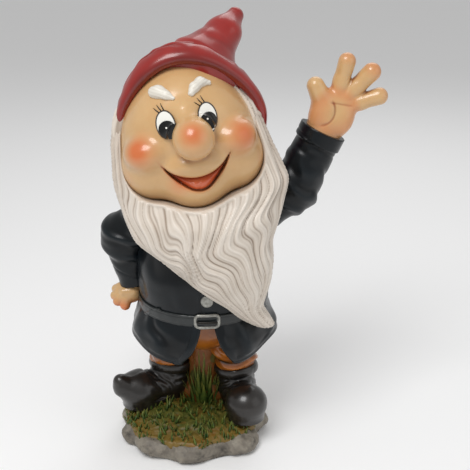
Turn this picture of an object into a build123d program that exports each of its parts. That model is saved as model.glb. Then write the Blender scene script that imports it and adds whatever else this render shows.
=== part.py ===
"""Garden gnome: a painted cast-resin figure that stands on a rock base and waves.

Millimetres. +Z is up, the face looks along -Y, and the origin is the centre of the underside.
Left and right are the gnome's own, so its left side is at +X.
"""
from build123d import *
from math import cos, pi, radians, sin, sqrt
import os

# Fits between pieces
glue_gap = 0.15          # all round a spigot in its socket
spigot_depth = 12.0      # how deep wrists and trouser legs go in

# Rock base, its closing plate and the bung in the plate's vent
rock_width = 124.0
rock_depth = 120.0
rock_height = 15.0
rock_lean = 2.5          # how far the stone sides draw in from bottom to top
rock_wall = 9.0
rock_roof = 5.0
plate_thickness = 3.0
plate_ledge = 3.0
vent_radius = 5.0
vent_back = 34.0         # the vent stands this far behind the centre
bung_head_radius = 7.5
bung_head_thickness = 1.2
bung_lip = 3.5           # how far the bung reaches past the plate

# Turf, and the tuft that props the figure between the boots
turf_inset = 4.0
turf_height = 8.0
turf_lean = 3.0
tuft_x = 9.5
tuft_y = 4.0
tuft_boot_gap = 3.5      # between the tuft and the left boot's shaft
tuft_taper = 3.0         # how much slimmer the tuft is at its top

# Boots: where each ankle stands, and how far its toe turns out
right_ankle = (-20.0, 12.0)
left_ankle = (37.0, 2.0)
right_toe_out = 58.0
left_toe_out = 16.0
toe_reach = 46.0         # ankle axis to the toe's front
heel_reach = 18.0
toe_radius = 16.5
heel_radius = 14.0
foot_lift = 12.0         # foot axis over the sole
shaft_radius = 16.0
boot_height = 36.0
boot_cuff_radius = 4.0
toe_curl_radius = 6.5
toe_curl_lift = 24.0

# Trousers
ankle_radius = 12.5
knee_radius = 16.5
knee_rise = 10.0         # boot top to the knee
thigh_radius = 20.0
leg_spread = 20.0        # hip joint to the body's axis
leg_length = 34.0        # boot top to the hip joint
seat_inset = 8.2          # how much slimmer the seat is than the coat's waist
seat_drop = 18.0         # how far the seat hangs below the hip joint

# Coat
body_x = 10.0
body_y = 2.0
front_turn = 5.0         # degrees that the coat's front turns to its left
waist_rise = 28.0        # hip joint to the waist seam
belly_radius = 53.0
belly_rise = 21.0        # waist seam to the fullest height
barrel_overrun = 11.0    # the coat's barrel would close this far over the coat's top
coat_height = 88.0
coat_wall = 4.5
coat_floor = 5.0
floor_hole_radius = 25.0
skirt_radius = 59.0
skirt_fullness = 21.0    # waist seam down to the skirt's fullest height
skirt_drop = 40.0
skirt_hem_radius = 51.0
skirt_wall = 6.0
vent_hem_width = 48.0    # the coat's open front, at the hem
vent_top_width = 11.0
vent_top_drop = 7.0
belt_width = 9.5
belt_thickness = 2.6
belt_inset = 0.8
buckle_width = 20.5
buckle_height = 12.5
buckle_bar = 2.5
buckle_thickness = 2.2
buckle_corner = 3.0
prong_radius = 0.9
button_radius = 4.8
button_rise = 17.0       # waist seam to the button
button_dome = 2.6
button_shank_radius = 1.8
button_shank = 3.5
button_sink = 1.0        # how far the button's back reaches under the coat's surface
button_face = 0.55       # share of its radius that stays flat on top

# Arms, as joint points measured from the body's axis at the waist seam
right_shoulder = (-38.0, 0.0, 70.0)
right_elbow = (-63.0, 8.0, 49.0)
right_cuff = (-55.5, 6.0, 10.5)
left_shoulder = (40.0, 0.0, 72.0)
left_elbow = (72.0, -2.0, 92.0)
left_cuff = (93.0, -2.0, 137.0)
shoulder_radius = 20.0
right_elbow_radius = 19.0
right_cuff_radius = 12.0
left_elbow_radius = 19.0
left_cuff_radius = 18.0

# Hands, laid out from each wrist along the sleeve's own line
right_wrist_radius = 9.0
right_palm_radius = 10.5
right_palm_reach = 6.0
right_finger_radius = 4.6
right_finger_tips = ((-17.0, -1.0, 12.0), (-16.5, 6.0, 14.5), (-10.0, 10.0, 17.0))
left_wrist_radius = 13.5
left_palm_radius = 15.5
left_palm_reach = 18.0
left_palm_thickness = 19.0
finger_radius = 6.2
finger_tip_radius = 6.6
finger_angles = (-11.0, 17.0, 44.0)
finger_reaches = (40.0, 42.0, 37.0)
thumb_angle = -58.0
thumb_reach = 24.0

# Head, in its own frame: x to its left, y up the face, z out of the face
neck_radius = 18.0
neck_depth = 14.0
head_rise = 59.0         # coat top to the head's centre
head_forward = 22.0
head_aside = 10.0
head_pitch = 8.0
head_turn = 4.0
head_roll = 10.5
head_radius = 50.0
head_wall = 6.0
head_hatch_radius = 28.0
jowl_radius = 27.0
jowl_spread = 26.0
jowl_drop = 24.0
jowl_forward = 15.0
chin_radius = 23.0
chin_drop = 33.0
chin_forward = 17.0
muzzle_radius = 22.0
muzzle_drop = 26.0
muzzle_forward = 28.0
cheek_radius = 21.0
cheek_spread = 29.5
cheek_drop = 12.0
cheek_forward = 26.0
nose_radius = 15.8
nose_drop = 5.5
nose_proud = 8.0         # the nose's centre is this far outside the head
nose_aside = 3.0
smile_radius = 25.0
smile_tube = 2.6
smile_drop = 17.0
smile_depth = 4.0        # how far the smile's line lies inside the head's radius
tongue_radius = 5.5
tongue_half_length = 9.0
tongue_drop = 37.0
tongue_depth = 7.5
eye_spread = 14.7
eye_rise = 7.5
eye_half_width = 7.2
eye_half_height = 10.2
eye_depth = 2.5
eye_proud = 1.2
pupil_radius = 6.4
pupil_drop = 3.6
pupil_edge = 0.4
pupil_rise = 0.8
brow_inner = (6.5, 25.8)  # aside, and down from the head's top
brow_outer = (18.5, 20.5)
brow_inner_radius = 2.6
brow_outer_radius = 4.2

# Hat
hat_tilt = 28.0          # hat's axis over straight back
brim_aside = 3.0
brim_up = 1.0
brim_back = 1.0
brim_standoff = 2.5      # the brim's middle line is this far outside the head
brim_section = 6.8
crown_standoff = 4.0
tail_base = (13.0, 6.0, 46.0)
tail_mid = (27.0, 22.0, 64.0)
tail_tip = (36.0, 34.0, 76.0)
tail_base_radius = 22.0
tail_mid_radius = 11.5
tail_tip_radius = 6.0

# Beard: drop under the head's centre, then centre x and y, half width and half depth
beard_levels = (
    (-10.0, 1.0, -3.0, 53.0, 16.0),
    (12.0, 5.0, -8.0, 61.0, 24.0),
    (37.0, 9.0, -12.0, 67.0, 31.0),
    (63.0, 10.0, -20.0, 60.0, 38.0),
    (88.0, 15.5, -24.0, 50.5, 33.0),
    (108.0, 26.5, -22.0, 36.5, 25.0),
    (128.0, 43.0, -22.0, 21.0, 15.0),
    (155.0, 65.0, -9.0, 7.0, 6.0),
)
hair_thickness = 5.5
hair_start = 4.0         # the hair begins this far behind the head's centre
nape_radius = 41.0
nape_top_radius = 52.0
nape_height = 40.0

# Sizes that follow
nose_forward = head_radius + nose_proud
smile_forward = head_radius - smile_depth
tongue_forward = head_radius - tongue_depth
brim_radius = head_radius + brim_standoff
crown_radius = head_radius + crown_standoff
ground_z = rock_height + turf_height
tuft_radius = left_ankle[0] - shaft_radius - tuft_boot_gap - tuft_x
boot_top_z = ground_z + boot_height
hip_z = boot_top_z + leg_length
waist_z = hip_z + waist_rise
coat_top_z = waist_z + coat_height
belly_half_height = coat_height - belly_rise + barrel_overrun
waist_radius = belly_radius * sqrt(1 - (belly_rise / belly_half_height) ** 2)
seat_radius = waist_radius - seat_inset
belt_inner_radius = waist_radius - belt_inset
belt_outer_radius = belt_inner_radius + belt_thickness

# Frames
STAND = (Align.CENTER, Align.CENTER, Align.MIN)
HANG = (Align.CENTER, Align.CENTER, Align.MAX)
body_axis = Axis((body_x, body_y, 0), (0, 0, 1))
turn = radians(front_turn)
coat_front = Plane(
    origin=(body_x, body_y, waist_z), x_dir=(cos(turn), sin(turn), 0), z_dir=(sin(turn), -cos(turn), 0))
head_centre = Vector(body_x - head_aside, body_y - head_forward, coat_top_z + head_rise)
face_on = Plane(origin=head_centre, x_dir=(1, 0, 0), z_dir=(0, -1, 0))
head = Plane(face_on.location * Location((0, 0, 0), (-head_pitch, head_turn, head_roll)))
hat = Plane(head.location * Location((brim_aside, brim_up, -brim_back), (hat_tilt - 180, 0, 0)))


def outline(inset):
    """The uneven outline of the stone, drawn in by an inset."""
    points = []
    for step in range(28):
        angle = 2 * pi * step / 28
        waver = 1 + 0.020 * sin(3 * angle + 0.6) + 0.014 * sin(5 * angle + 2.0)
        points.append(((rock_width / 2 * waver - inset) * cos(angle),
                       (rock_depth / 2 * waver - inset) * sin(angle)))
    return points


def stone_slab(level, thickness, inset, top_inset):
    """A slab with the stone's outline, from a level upward, drawn in from bottom to top."""
    with BuildPart() as slab:
        for height, drawn_in in ((level, inset), (level + thickness, top_inset)):
            with BuildSketch(Plane.XY.offset(height)):
                with BuildLine():
                    Spline(*outline(drawn_in), periodic=True)
                make_face()
        loft()
    return slab.part


def at_waist(offset):
    """A point measured from the body's axis at the waist seam."""
    return Vector(body_x, body_y, waist_z) + Vector(*offset)


def on_face(aside, rise, proud=0.0):
    """A point on the head's sphere, in head coordinates, lifted off it by a little."""
    ahead = sqrt(head_radius ** 2 - aside ** 2 - rise ** 2)
    return head.from_local_coords(Vector(aside, rise, ahead + proud))


def taper(start, start_radius, end, end_radius):
    """A cone from point to point, for the part being built."""
    along = Vector(*end) - Vector(*start)
    with Locations(Plane(origin=Vector(*start), z_dir=along)):
        if abs(start_radius - end_radius) < 1e-6:
            Cylinder(start_radius, along.length, align=STAND)
        else:
            Cone(start_radius, end_radius, along.length, align=STAND)


def ball(centre, radius):
    """A sphere at a point, for the part being built."""
    with Locations(Vector(*centre)):
        Sphere(radius)


def largest(piece):
    """The biggest solid of a piece, without the slivers a cut leaves behind."""
    return max(piece.solids(), key=lambda solid: solid.volume)


os.makedirs("parts", exist_ok=True)

# ---- Base ----
stone_block = stone_slab(0, rock_height, 0, rock_lean)
plate_pocket = stone_slab(0, plate_thickness, rock_wall, rock_wall)
deep_pocket = stone_slab(
    plate_thickness, rock_height - rock_roof - plate_thickness, rock_wall + plate_ledge,
    rock_wall + plate_ledge)
plate_blank = stone_slab(0, plate_thickness, rock_wall + glue_gap, rock_wall + glue_gap)

with BuildPart() as rock_base:
    add(stone_block)
    add(plate_pocket, mode=Mode.SUBTRACT)
    add(deep_pocket, mode=Mode.SUBTRACT)

with BuildPart() as base_plate:
    add(plate_blank)
    with Locations((0, vent_back, 0)):
        Cylinder(vent_radius, plate_thickness, align=STAND, mode=Mode.SUBTRACT)
        Cylinder(bung_head_radius + glue_gap, bung_head_thickness, align=STAND, mode=Mode.SUBTRACT)

with BuildPart() as base_bung:
    with BuildSketch(Plane.XZ.offset(-vent_back)):
        with BuildLine():
            Polyline(
                (0, 0), (bung_head_radius, 0), (bung_head_radius, bung_head_thickness),
                (vent_radius - glue_gap, bung_head_thickness),
                (vent_radius - glue_gap, plate_thickness + bung_lip / 2),
                (vent_radius - 2, plate_thickness + bung_lip), (0, plate_thickness + bung_lip),
                close=True)
        make_face()
    revolve(axis=Axis((0, vent_back, 0), (0, 0, 1)))

turf = stone_slab(
    rock_height, turf_height, rock_lean + turf_inset, rock_lean + turf_inset + turf_lean)


# ---- Boots and trousers ----
def boot(ankle, toe_out, side):
    """A short boot with a curled toe and a rolled cuff; side is -1 for the right boot."""
    heading = Vector(side * sin(radians(toe_out)), -cos(radians(toe_out)), 0)
    foot = Vector(*ankle, ground_z)
    up = Vector(0, 0, 1)
    heel = foot - heading * (heel_reach - heel_radius) + up * foot_lift
    toe = foot + heading * (toe_reach - toe_radius) + up * foot_lift
    curl = foot + heading * toe_reach + up * toe_curl_lift
    with BuildPart() as made:
        taper(heel, heel_radius, toe, toe_radius)
        ball(heel, heel_radius)
        ball(toe, toe_radius)
        taper(toe, toe_radius * 0.9, curl, toe_curl_radius)
        ball(curl, toe_curl_radius)
        with Locations(foot + up * foot_lift):
            Cylinder(shaft_radius, boot_height - foot_lift - boot_cuff_radius, align=STAND)
        with Locations(foot + up * (boot_height - boot_cuff_radius)):
            Torus(shaft_radius - 1, boot_cuff_radius)
            Cylinder(shaft_radius - 1, boot_cuff_radius, align=STAND)
        with Locations(foot):
            Cylinder(toe_reach * 3, toe_radius, align=HANG, mode=Mode.SUBTRACT)
        with Locations(foot + up * boot_height):
            Cylinder(ankle_radius + glue_gap, spigot_depth, align=HANG, mode=Mode.SUBTRACT)
    return made.part


def trouser_leg(ankle, side):
    """A trouser leg that stands in its boot and rounds off at the hip joint."""
    foot = Vector(*ankle, boot_top_z)
    hip = Vector(body_x + side * leg_spread, body_y, hip_z)
    knee = foot + (hip - foot) * (knee_rise / leg_length)
    with BuildPart() as made:
        with Locations(foot):
            Cylinder(ankle_radius, spigot_depth - glue_gap, align=HANG)
        taper(foot, ankle_radius, knee, knee_radius)
        ball(knee, knee_radius)
        taper(knee, knee_radius, hip, thigh_radius)
        ball(hip, thigh_radius)
        with Locations(foot):
            Cylinder(shaft_radius * 2, boot_cuff_radius * 2, align=HANG, mode=Mode.SUBTRACT)
            Cylinder(ankle_radius, spigot_depth - glue_gap, align=HANG)
    return made.part


left_boot = boot(left_ankle, left_toe_out, 1)
right_boot = boot(right_ankle, right_toe_out, -1)
left_leg = trouser_leg(left_ankle, 1)
right_leg = trouser_leg(right_ankle, -1)

with BuildPart() as trouser_seat:
    with BuildSketch(Plane.XZ.offset(-body_y)):
        with BuildLine():
            Polyline(
                (body_x, hip_z - seat_drop), (body_x, waist_z), (body_x + seat_radius, waist_z),
                (body_x + seat_radius, hip_z))
            EllipticalCenterArc(
                (body_x, hip_z), seat_radius, seat_drop, start_angle=270, arc_size=90)
        make_face()
    revolve(axis=body_axis)
    add(left_leg, mode=Mode.SUBTRACT)
    add(right_leg, mode=Mode.SUBTRACT)

with BuildPart() as grass_tuft:
    with Locations((tuft_x, tuft_y, ground_z)):
        Cone(tuft_radius, tuft_radius - tuft_taper, hip_z - seat_drop - ground_z, align=STAND)

# ---- Coat ----
with BuildPart() as torso:
    with BuildSketch(Plane.XZ.offset(-body_y)):
        with BuildLine():
            EllipticalCenterArc(
                (body_x, waist_z + belly_rise), belly_radius, belly_half_height,
                start_angle=-90, arc_size=180)
            Line((body_x, waist_z + belly_rise - belly_half_height),
                 (body_x, waist_z + belly_rise + belly_half_height))
        make_face()
    revolve(axis=body_axis)
    with Locations((body_x, body_y, waist_z)):
        Cylinder(belly_radius * 2, belly_half_height, align=HANG, mode=Mode.SUBTRACT)
    with Locations((body_x, body_y, coat_top_z)):
        Cylinder(belly_radius * 2, belly_half_height, align=STAND, mode=Mode.SUBTRACT)

with BuildPart() as belt:
    with Locations((body_x, body_y, waist_z)):
        Cylinder(belt_outer_radius, belt_width)
        Cylinder(belt_inner_radius, belt_width, mode=Mode.SUBTRACT)

with BuildPart() as belt_buckle:
    with BuildSketch(coat_front):
        RectangleRounded(buckle_width, buckle_height, buckle_corner)
        RectangleRounded(
            buckle_width - 2 * buckle_bar, buckle_height - 2 * buckle_bar, buckle_corner / 2,
            mode=Mode.SUBTRACT)
    extrude(amount=belt_outer_radius * 2)
    with Locations((body_x, body_y, waist_z)):
        Cylinder(belt_outer_radius, buckle_height * 2, mode=Mode.SUBTRACT)
        Cylinder(belt_outer_radius + buckle_thickness, buckle_height * 2, mode=Mode.INTERSECT)

with BuildPart() as buckle_prong:
    with Locations(coat_front.offset(belt_outer_radius + prong_radius)):
        Cylinder(prong_radius, buckle_width - 2 * buckle_bar - 2 * glue_gap, rotation=(0, 90, 0))

with BuildPart() as coat_skirt:
    with BuildSketch(Plane.XZ.offset(-body_y)):
        with BuildLine():
            Spline(
                (body_x + waist_radius, waist_z), (body_x + skirt_radius, waist_z - skirt_fullness),
                (body_x + skirt_hem_radius, waist_z - skirt_drop))
            Line((body_x + skirt_hem_radius, waist_z - skirt_drop),
                 (body_x + skirt_hem_radius - skirt_wall, waist_z - skirt_drop))
            Spline(
                (body_x + skirt_hem_radius - skirt_wall, waist_z - skirt_drop),
                (body_x + skirt_radius - skirt_wall, waist_z - skirt_fullness),
                (body_x + waist_radius - skirt_wall, waist_z))
            Line((body_x + waist_radius - skirt_wall, waist_z), (body_x + waist_radius, waist_z))
        make_face()
    revolve(axis=body_axis)
    with BuildSketch(coat_front):
        Polygon(
            (-vent_hem_width / 2, -skirt_drop - 1), (vent_hem_width / 2, -skirt_drop - 1),
            (vent_top_width / 2, -vent_top_drop), (-vent_top_width / 2, -vent_top_drop), align=None)
    extrude(amount=skirt_radius * 2, mode=Mode.SUBTRACT)
    add(belt.part, mode=Mode.SUBTRACT)
    add(belt_buckle.part, mode=Mode.SUBTRACT)

button_seat = sqrt(1 - ((button_rise - belly_rise) / belly_half_height) ** 2) * belly_radius
button_plane = Plane(
    origin=coat_front.from_local_coords(Vector(0, button_rise, button_seat)),
    x_dir=coat_front.x_dir, z_dir=coat_front.z_dir)
with BuildPart() as coat_button:
    with Locations(button_plane.offset(-button_sink)):
        Cylinder(button_radius, 2 * button_sink, align=STAND)
    with Locations(button_plane.offset(button_sink)):
        Cone(button_radius, button_radius * button_face, button_dome - button_sink, align=STAND)
    add(torso.part, mode=Mode.SUBTRACT)
    with Locations(button_plane.offset(button_sink)):
        Cylinder(button_shank_radius, button_shank + button_sink, align=HANG)

with BuildPart() as coat_body:
    add(torso.part)
    with BuildSketch(Plane.XZ.offset(-body_y)):
        with BuildLine():
            EllipticalCenterArc(
                (body_x, waist_z + belly_rise), belly_radius - coat_wall, belly_half_height - coat_wall,
                start_angle=-90, arc_size=180)
            Line((body_x, waist_z + belly_rise - belly_half_height + coat_wall),
                 (body_x, waist_z + belly_rise + belly_half_height - coat_wall))
        make_face()
        with Locations((body_x, waist_z + coat_floor)):
            Rectangle(belly_radius * 4, belly_half_height * 2, align=(Align.CENTER, Align.MAX),
                      mode=Mode.SUBTRACT)
        with Locations((body_x, coat_top_z - coat_floor)):
            Rectangle(belly_radius * 4, belly_half_height, align=(Align.CENTER, Align.MIN),
                      mode=Mode.SUBTRACT)
    revolve(axis=body_axis, mode=Mode.SUBTRACT)
    with Locations((body_x, body_y, waist_z)):
        Cylinder(floor_hole_radius, coat_floor, align=STAND, mode=Mode.SUBTRACT)
    with Locations((body_x, body_y, coat_top_z)):
        Cylinder(neck_radius + glue_gap, coat_floor, align=HANG, mode=Mode.SUBTRACT)
    with Locations(button_plane):
        Cylinder(button_shank_radius + glue_gap, coat_wall * 2, mode=Mode.SUBTRACT)
    add(belt.part, mode=Mode.SUBTRACT)
    add(belt_buckle.part, mode=Mode.SUBTRACT)


# ---- Arms ----
def sleeve(shoulder, elbow, cuff, elbow_radius, cuff_radius, wrist_radius):
    """A bent sleeve cut to the coat, with a socket for the wrist."""
    shoulder = at_waist(shoulder)
    elbow = at_waist(elbow)
    cuff = at_waist(cuff)
    inward = (elbow - cuff).normalized()
    with BuildPart() as made:
        ball(shoulder, shoulder_radius)
        taper(shoulder, shoulder_radius, elbow, elbow_radius)
        ball(elbow, elbow_radius)
        taper(elbow, elbow_radius, cuff, cuff_radius)
        add(torso.part, mode=Mode.SUBTRACT)
        with Locations(Plane(origin=cuff, z_dir=inward)):
            Cylinder(wrist_radius + glue_gap, spigot_depth, align=STAND, mode=Mode.SUBTRACT)
    return largest(made.part)


left_sleeve = sleeve(
    left_shoulder, left_elbow, left_cuff, left_elbow_radius, left_cuff_radius, left_wrist_radius)
right_sleeve = sleeve(
    right_shoulder, right_elbow, right_cuff, right_elbow_radius, right_cuff_radius,
    right_wrist_radius)

left_line = at_waist(left_cuff) - at_waist(left_elbow)
left_wrist = Plane(origin=at_waist(left_cuff), x_dir=(0, -1, 0), z_dir=left_line)
with BuildPart() as left_hand:
    with Locations(left_wrist):
        Cylinder(left_wrist_radius, spigot_depth - glue_gap, align=HANG)
        Cylinder(left_wrist_radius, left_palm_reach, align=STAND)
    palm = left_wrist.from_local_coords(Vector(0, 0, left_palm_reach))
    with Locations(Plane(origin=palm, x_dir=left_line, z_dir=(0, -1, 0))):
        Cylinder(left_palm_radius, left_palm_thickness)
    for angle, reach in zip((thumb_angle, *finger_angles), (thumb_reach, *finger_reaches)):
        aside = reach * sin(radians(angle))
        tip = left_wrist.from_local_coords(
            Vector(0, aside, left_palm_reach + reach * cos(radians(angle))))
        taper(palm, finger_radius, tip, finger_tip_radius)
        ball(tip, finger_tip_radius)

right_line = at_waist(right_cuff) - at_waist(right_elbow)
right_wrist = Plane(origin=at_waist(right_cuff), x_dir=(1, 0, 0), z_dir=right_line)
with BuildPart() as right_hand:
    with Locations(right_wrist):
        Cylinder(right_wrist_radius, spigot_depth - glue_gap, align=HANG)
        Cylinder(right_wrist_radius, right_palm_reach, align=STAND)
    palm = right_wrist.from_local_coords(Vector(0, 0, right_palm_reach))
    ball(palm, right_palm_radius)
    for reach in right_finger_tips:
        tip = right_wrist.from_local_coords(Vector(*reach))
        taper(palm, right_finger_radius, tip, right_finger_radius)
        ball(tip, right_finger_radius)
    for neighbour in (torso.part, belt.part, coat_skirt.part, trouser_seat.part, right_sleeve):
        add(neighbour, mode=Mode.SUBTRACT)

# ---- Head ----
nose_centre = head.from_local_coords(Vector(nose_aside, -nose_drop, nose_forward))
cheek_centres = [head.from_local_coords(Vector(side * cheek_spread, -cheek_drop, cheek_forward))
                 for side in (-1, 1)]
jowl_centres = [head.from_local_coords(Vector(side * jowl_spread, -jowl_drop, jowl_forward))
                for side in (-1, 1)]
with BuildPart() as face_bulk:
    ball(head_centre, head_radius)
    with Locations(*jowl_centres):
        Sphere(jowl_radius)
    with Locations(*cheek_centres):
        Sphere(cheek_radius)
    ball(head.from_local_coords(Vector(0, -chin_drop, chin_forward)), chin_radius)
    ball(head.from_local_coords(Vector(0, -muzzle_drop, muzzle_forward)), muzzle_radius)
    ball(nose_centre, nose_radius)
    taper((body_x, body_y, coat_top_z - neck_depth), neck_radius,
          (body_x, body_y, head_centre.Z - head_radius / 2), neck_radius)

with BuildPart() as smile:
    with Locations(head.offset(smile_forward)):
        with Locations((0, -smile_drop)):
            Torus(smile_radius, smile_tube)
            Box(smile_radius * 4, smile_radius * 2, smile_tube * 4,
                align=(Align.CENTER, Align.MIN, Align.CENTER), mode=Mode.SUBTRACT)

with BuildPart() as tongue:
    ends = [head.from_local_coords(Vector(side * tongue_half_length, -tongue_drop, tongue_forward))
            for side in (-1, 1)]
    taper(ends[0], tongue_radius, ends[1], tongue_radius)
    ball(ends[0], tongue_radius)
    ball(ends[1], tongue_radius)


def clear_of_nose_and_cheeks():
    """Cut the nose and the cheeks out of the part being built."""
    with Locations(nose_centre):
        Sphere(nose_radius, mode=Mode.SUBTRACT)
    with Locations(*cheek_centres):
        Sphere(cheek_radius, mode=Mode.SUBTRACT)


def eye(side):
    """An inlaid oval eye that follows the head's round and stands a little proud."""
    with BuildPart() as made:
        with BuildSketch(head):
            with Locations((side * eye_spread, eye_rise)):
                Ellipse(eye_half_width, eye_half_height)
        extrude(amount=head_radius * 2)
        with Locations(head_centre):
            Sphere(head_radius + eye_proud, mode=Mode.INTERSECT)
            Sphere(head_radius - eye_depth, mode=Mode.SUBTRACT)
        clear_of_nose_and_cheeks()
    return made.part


def pupil(side):
    """A thin pupil laid on the lower part of an eye."""
    with BuildPart() as made:
        with BuildSketch(head):
            with Locations((side * eye_spread, eye_rise)):
                Ellipse(eye_half_width - pupil_edge, eye_half_height - pupil_edge)
            with Locations((side * eye_spread, eye_rise - pupil_drop)):
                Circle(pupil_radius, mode=Mode.INTERSECT)
        extrude(amount=head_radius * 2)
        with Locations(head_centre):
            Sphere(head_radius + eye_proud + pupil_rise, mode=Mode.INTERSECT)
            Sphere(head_radius + eye_proud, mode=Mode.SUBTRACT)
        clear_of_nose_and_cheeks()
    return made.part


def eyebrow(side):
    """A raised brow, thin at its inner end and thick at its outer end."""
    inner = on_face(side * brow_inner[0], head_radius - brow_inner[1])
    outer = on_face(side * brow_outer[0], head_radius - brow_outer[1])
    with BuildPart() as made:
        ball(inner, brow_inner_radius)
        taper(inner, brow_inner_radius, outer, brow_outer_radius)
        ball(outer, brow_outer_radius)
        add(face_bulk.part, mode=Mode.SUBTRACT)
    return made.part


left_eye = eye(1)
right_eye = eye(-1)
left_pupil = pupil(1)
right_pupil = pupil(-1)
left_eyebrow = eyebrow(1)
right_eyebrow = eyebrow(-1)

# ---- Hat ----
with BuildPart() as hat_brim:
    with Locations(hat):
        Torus(brim_radius, brim_section)
    add(face_bulk.part, mode=Mode.SUBTRACT)

with BuildPart() as hat_crown:
    ball(hat.origin, crown_radius)
    with Locations(hat):
        Cylinder(crown_radius * 2, crown_radius * 2, align=HANG, mode=Mode.SUBTRACT)
    base = head_centre + Vector(*tail_base)
    mid = head_centre + Vector(*tail_mid)
    tip = head_centre + Vector(*tail_tip)
    ball(base, tail_base_radius)
    taper(base, tail_base_radius, mid, tail_mid_radius)
    ball(mid, tail_mid_radius)
    taper(mid, tail_mid_radius, tip, tail_tip_radius)
    ball(tip, tail_tip_radius)
    add(face_bulk.part, mode=Mode.SUBTRACT)
    add(hat_brim.part, mode=Mode.SUBTRACT)

with BuildPart() as head_shell:
    add(face_bulk.part)
    with Locations(head_centre):
        Sphere(head_radius - head_wall, mode=Mode.SUBTRACT)
    with Locations(hat):
        Cylinder(head_hatch_radius, head_radius * 2, align=STAND, mode=Mode.SUBTRACT)
    add(smile.part, mode=Mode.SUBTRACT)
    for inlay in (left_eye, right_eye, tongue.part):
        add(inlay, mode=Mode.SUBTRACT)

# ---- Hair and beard ----
with BuildPart() as hair:
    ball(head_centre, head_radius + hair_thickness)
    with Locations((head_centre.X, head_centre.Y, coat_top_z)):
        Cone(nape_radius, nape_top_radius, nape_height, align=STAND)
    with Locations(head.offset(-hair_start)):
        Box(head_radius * 6, head_radius * 6, head_radius * 6, align=STAND, mode=Mode.SUBTRACT)
    for neighbour in (face_bulk.part, left_sleeve, right_sleeve, hat_brim.part, hat_crown.part):
        add(neighbour, mode=Mode.SUBTRACT)

with BuildPart() as beard:
    for drop, aside, ahead, half_width, half_depth in beard_levels:
        with BuildSketch(Plane.XY.offset(head_centre.Z - drop)):
            with Locations((head_centre.X + aside, head_centre.Y + ahead)):
                Ellipse(half_width, half_depth)
    loft()
    for neighbour in (face_bulk.part, torso.part, left_sleeve, right_sleeve, hat_brim.part,
                      hat_crown.part, hair.part, belt.part, coat_skirt.part, coat_button.part):
        add(neighbour, mode=Mode.SUBTRACT)

pieces = {
    "rock_base": rock_base.part, "base_plate": base_plate.part, "base_bung": base_bung.part,
    "turf": turf, "grass_tuft": grass_tuft.part, "left_boot": left_boot,
    "right_boot": right_boot, "left_trouser_leg": left_leg, "right_trouser_leg": right_leg,
    "trouser_seat": trouser_seat.part, "coat_skirt": largest(coat_skirt.part), "coat_body": coat_body.part,
    "belt": belt.part, "belt_buckle": belt_buckle.part, "buckle_prong": buckle_prong.part,
    "coat_button": coat_button.part, "left_sleeve": left_sleeve, "right_sleeve": right_sleeve,
    "left_hand": left_hand.part, "right_hand": right_hand.part, "head": head_shell.part,
    "left_eye": left_eye, "right_eye": right_eye, "left_pupil": left_pupil,
    "right_pupil": right_pupil, "left_eyebrow": left_eyebrow, "right_eyebrow": right_eyebrow,
    "tongue": tongue.part, "beard": beard.part, "hair": hair.part, "hat_brim": hat_brim.part,
    "hat_crown": hat_crown.part,
}
for name, piece in pieces.items():
    piece.label = name
    export_step(piece, f"parts/{name}.step")
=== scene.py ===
"""The looks of a painted cast-resin garden gnome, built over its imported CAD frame.

Shapes are worked out in millimetres in the frame's own axes and become metres as they are meshed.
Left and right are the gnome's own, so its left side is at +X.
"""
from itertools import product
from math import cos, pi, radians, sin, sqrt

import bmesh
import bpy
import numpy as np
import openvdb
from bpy.props import FloatProperty, FloatVectorProperty, IntProperty, PointerProperty
from mathutils import Matrix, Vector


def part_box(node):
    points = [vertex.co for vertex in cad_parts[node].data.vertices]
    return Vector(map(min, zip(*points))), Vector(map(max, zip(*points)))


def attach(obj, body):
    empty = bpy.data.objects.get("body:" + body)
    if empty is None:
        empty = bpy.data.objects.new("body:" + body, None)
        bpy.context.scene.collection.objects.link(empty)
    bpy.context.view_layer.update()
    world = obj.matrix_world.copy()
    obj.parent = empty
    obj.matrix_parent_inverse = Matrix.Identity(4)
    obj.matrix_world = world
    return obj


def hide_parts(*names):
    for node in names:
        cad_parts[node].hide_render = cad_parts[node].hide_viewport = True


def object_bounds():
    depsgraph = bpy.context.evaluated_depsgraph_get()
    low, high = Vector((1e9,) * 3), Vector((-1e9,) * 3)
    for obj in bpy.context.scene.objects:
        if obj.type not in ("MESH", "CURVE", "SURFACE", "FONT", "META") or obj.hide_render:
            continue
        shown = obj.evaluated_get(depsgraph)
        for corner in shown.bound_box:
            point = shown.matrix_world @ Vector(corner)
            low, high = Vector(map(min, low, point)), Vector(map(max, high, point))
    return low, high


bl_info = {
    "name": "Painted Garden Gnome",
    "version": (1, 0, 0),
    "blender": (4, 5, 0),
    "location": "View3D > Sidebar > Gnome",
    "description": "Builds a waving cast-resin garden gnome over its packed frame",
    "category": "Object",
}

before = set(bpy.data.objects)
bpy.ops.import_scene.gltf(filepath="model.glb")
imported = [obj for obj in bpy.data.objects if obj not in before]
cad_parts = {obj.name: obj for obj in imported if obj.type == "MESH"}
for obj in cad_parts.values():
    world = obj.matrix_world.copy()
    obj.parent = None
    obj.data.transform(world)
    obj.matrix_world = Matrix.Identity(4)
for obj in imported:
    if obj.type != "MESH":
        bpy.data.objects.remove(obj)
CAD_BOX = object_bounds()
MM = 0.001


def box_mm(node):
    """A CAD node's lowest and highest corners in millimetres."""
    low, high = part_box(node)
    return np.array(low) / MM, np.array(high) / MM


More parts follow.
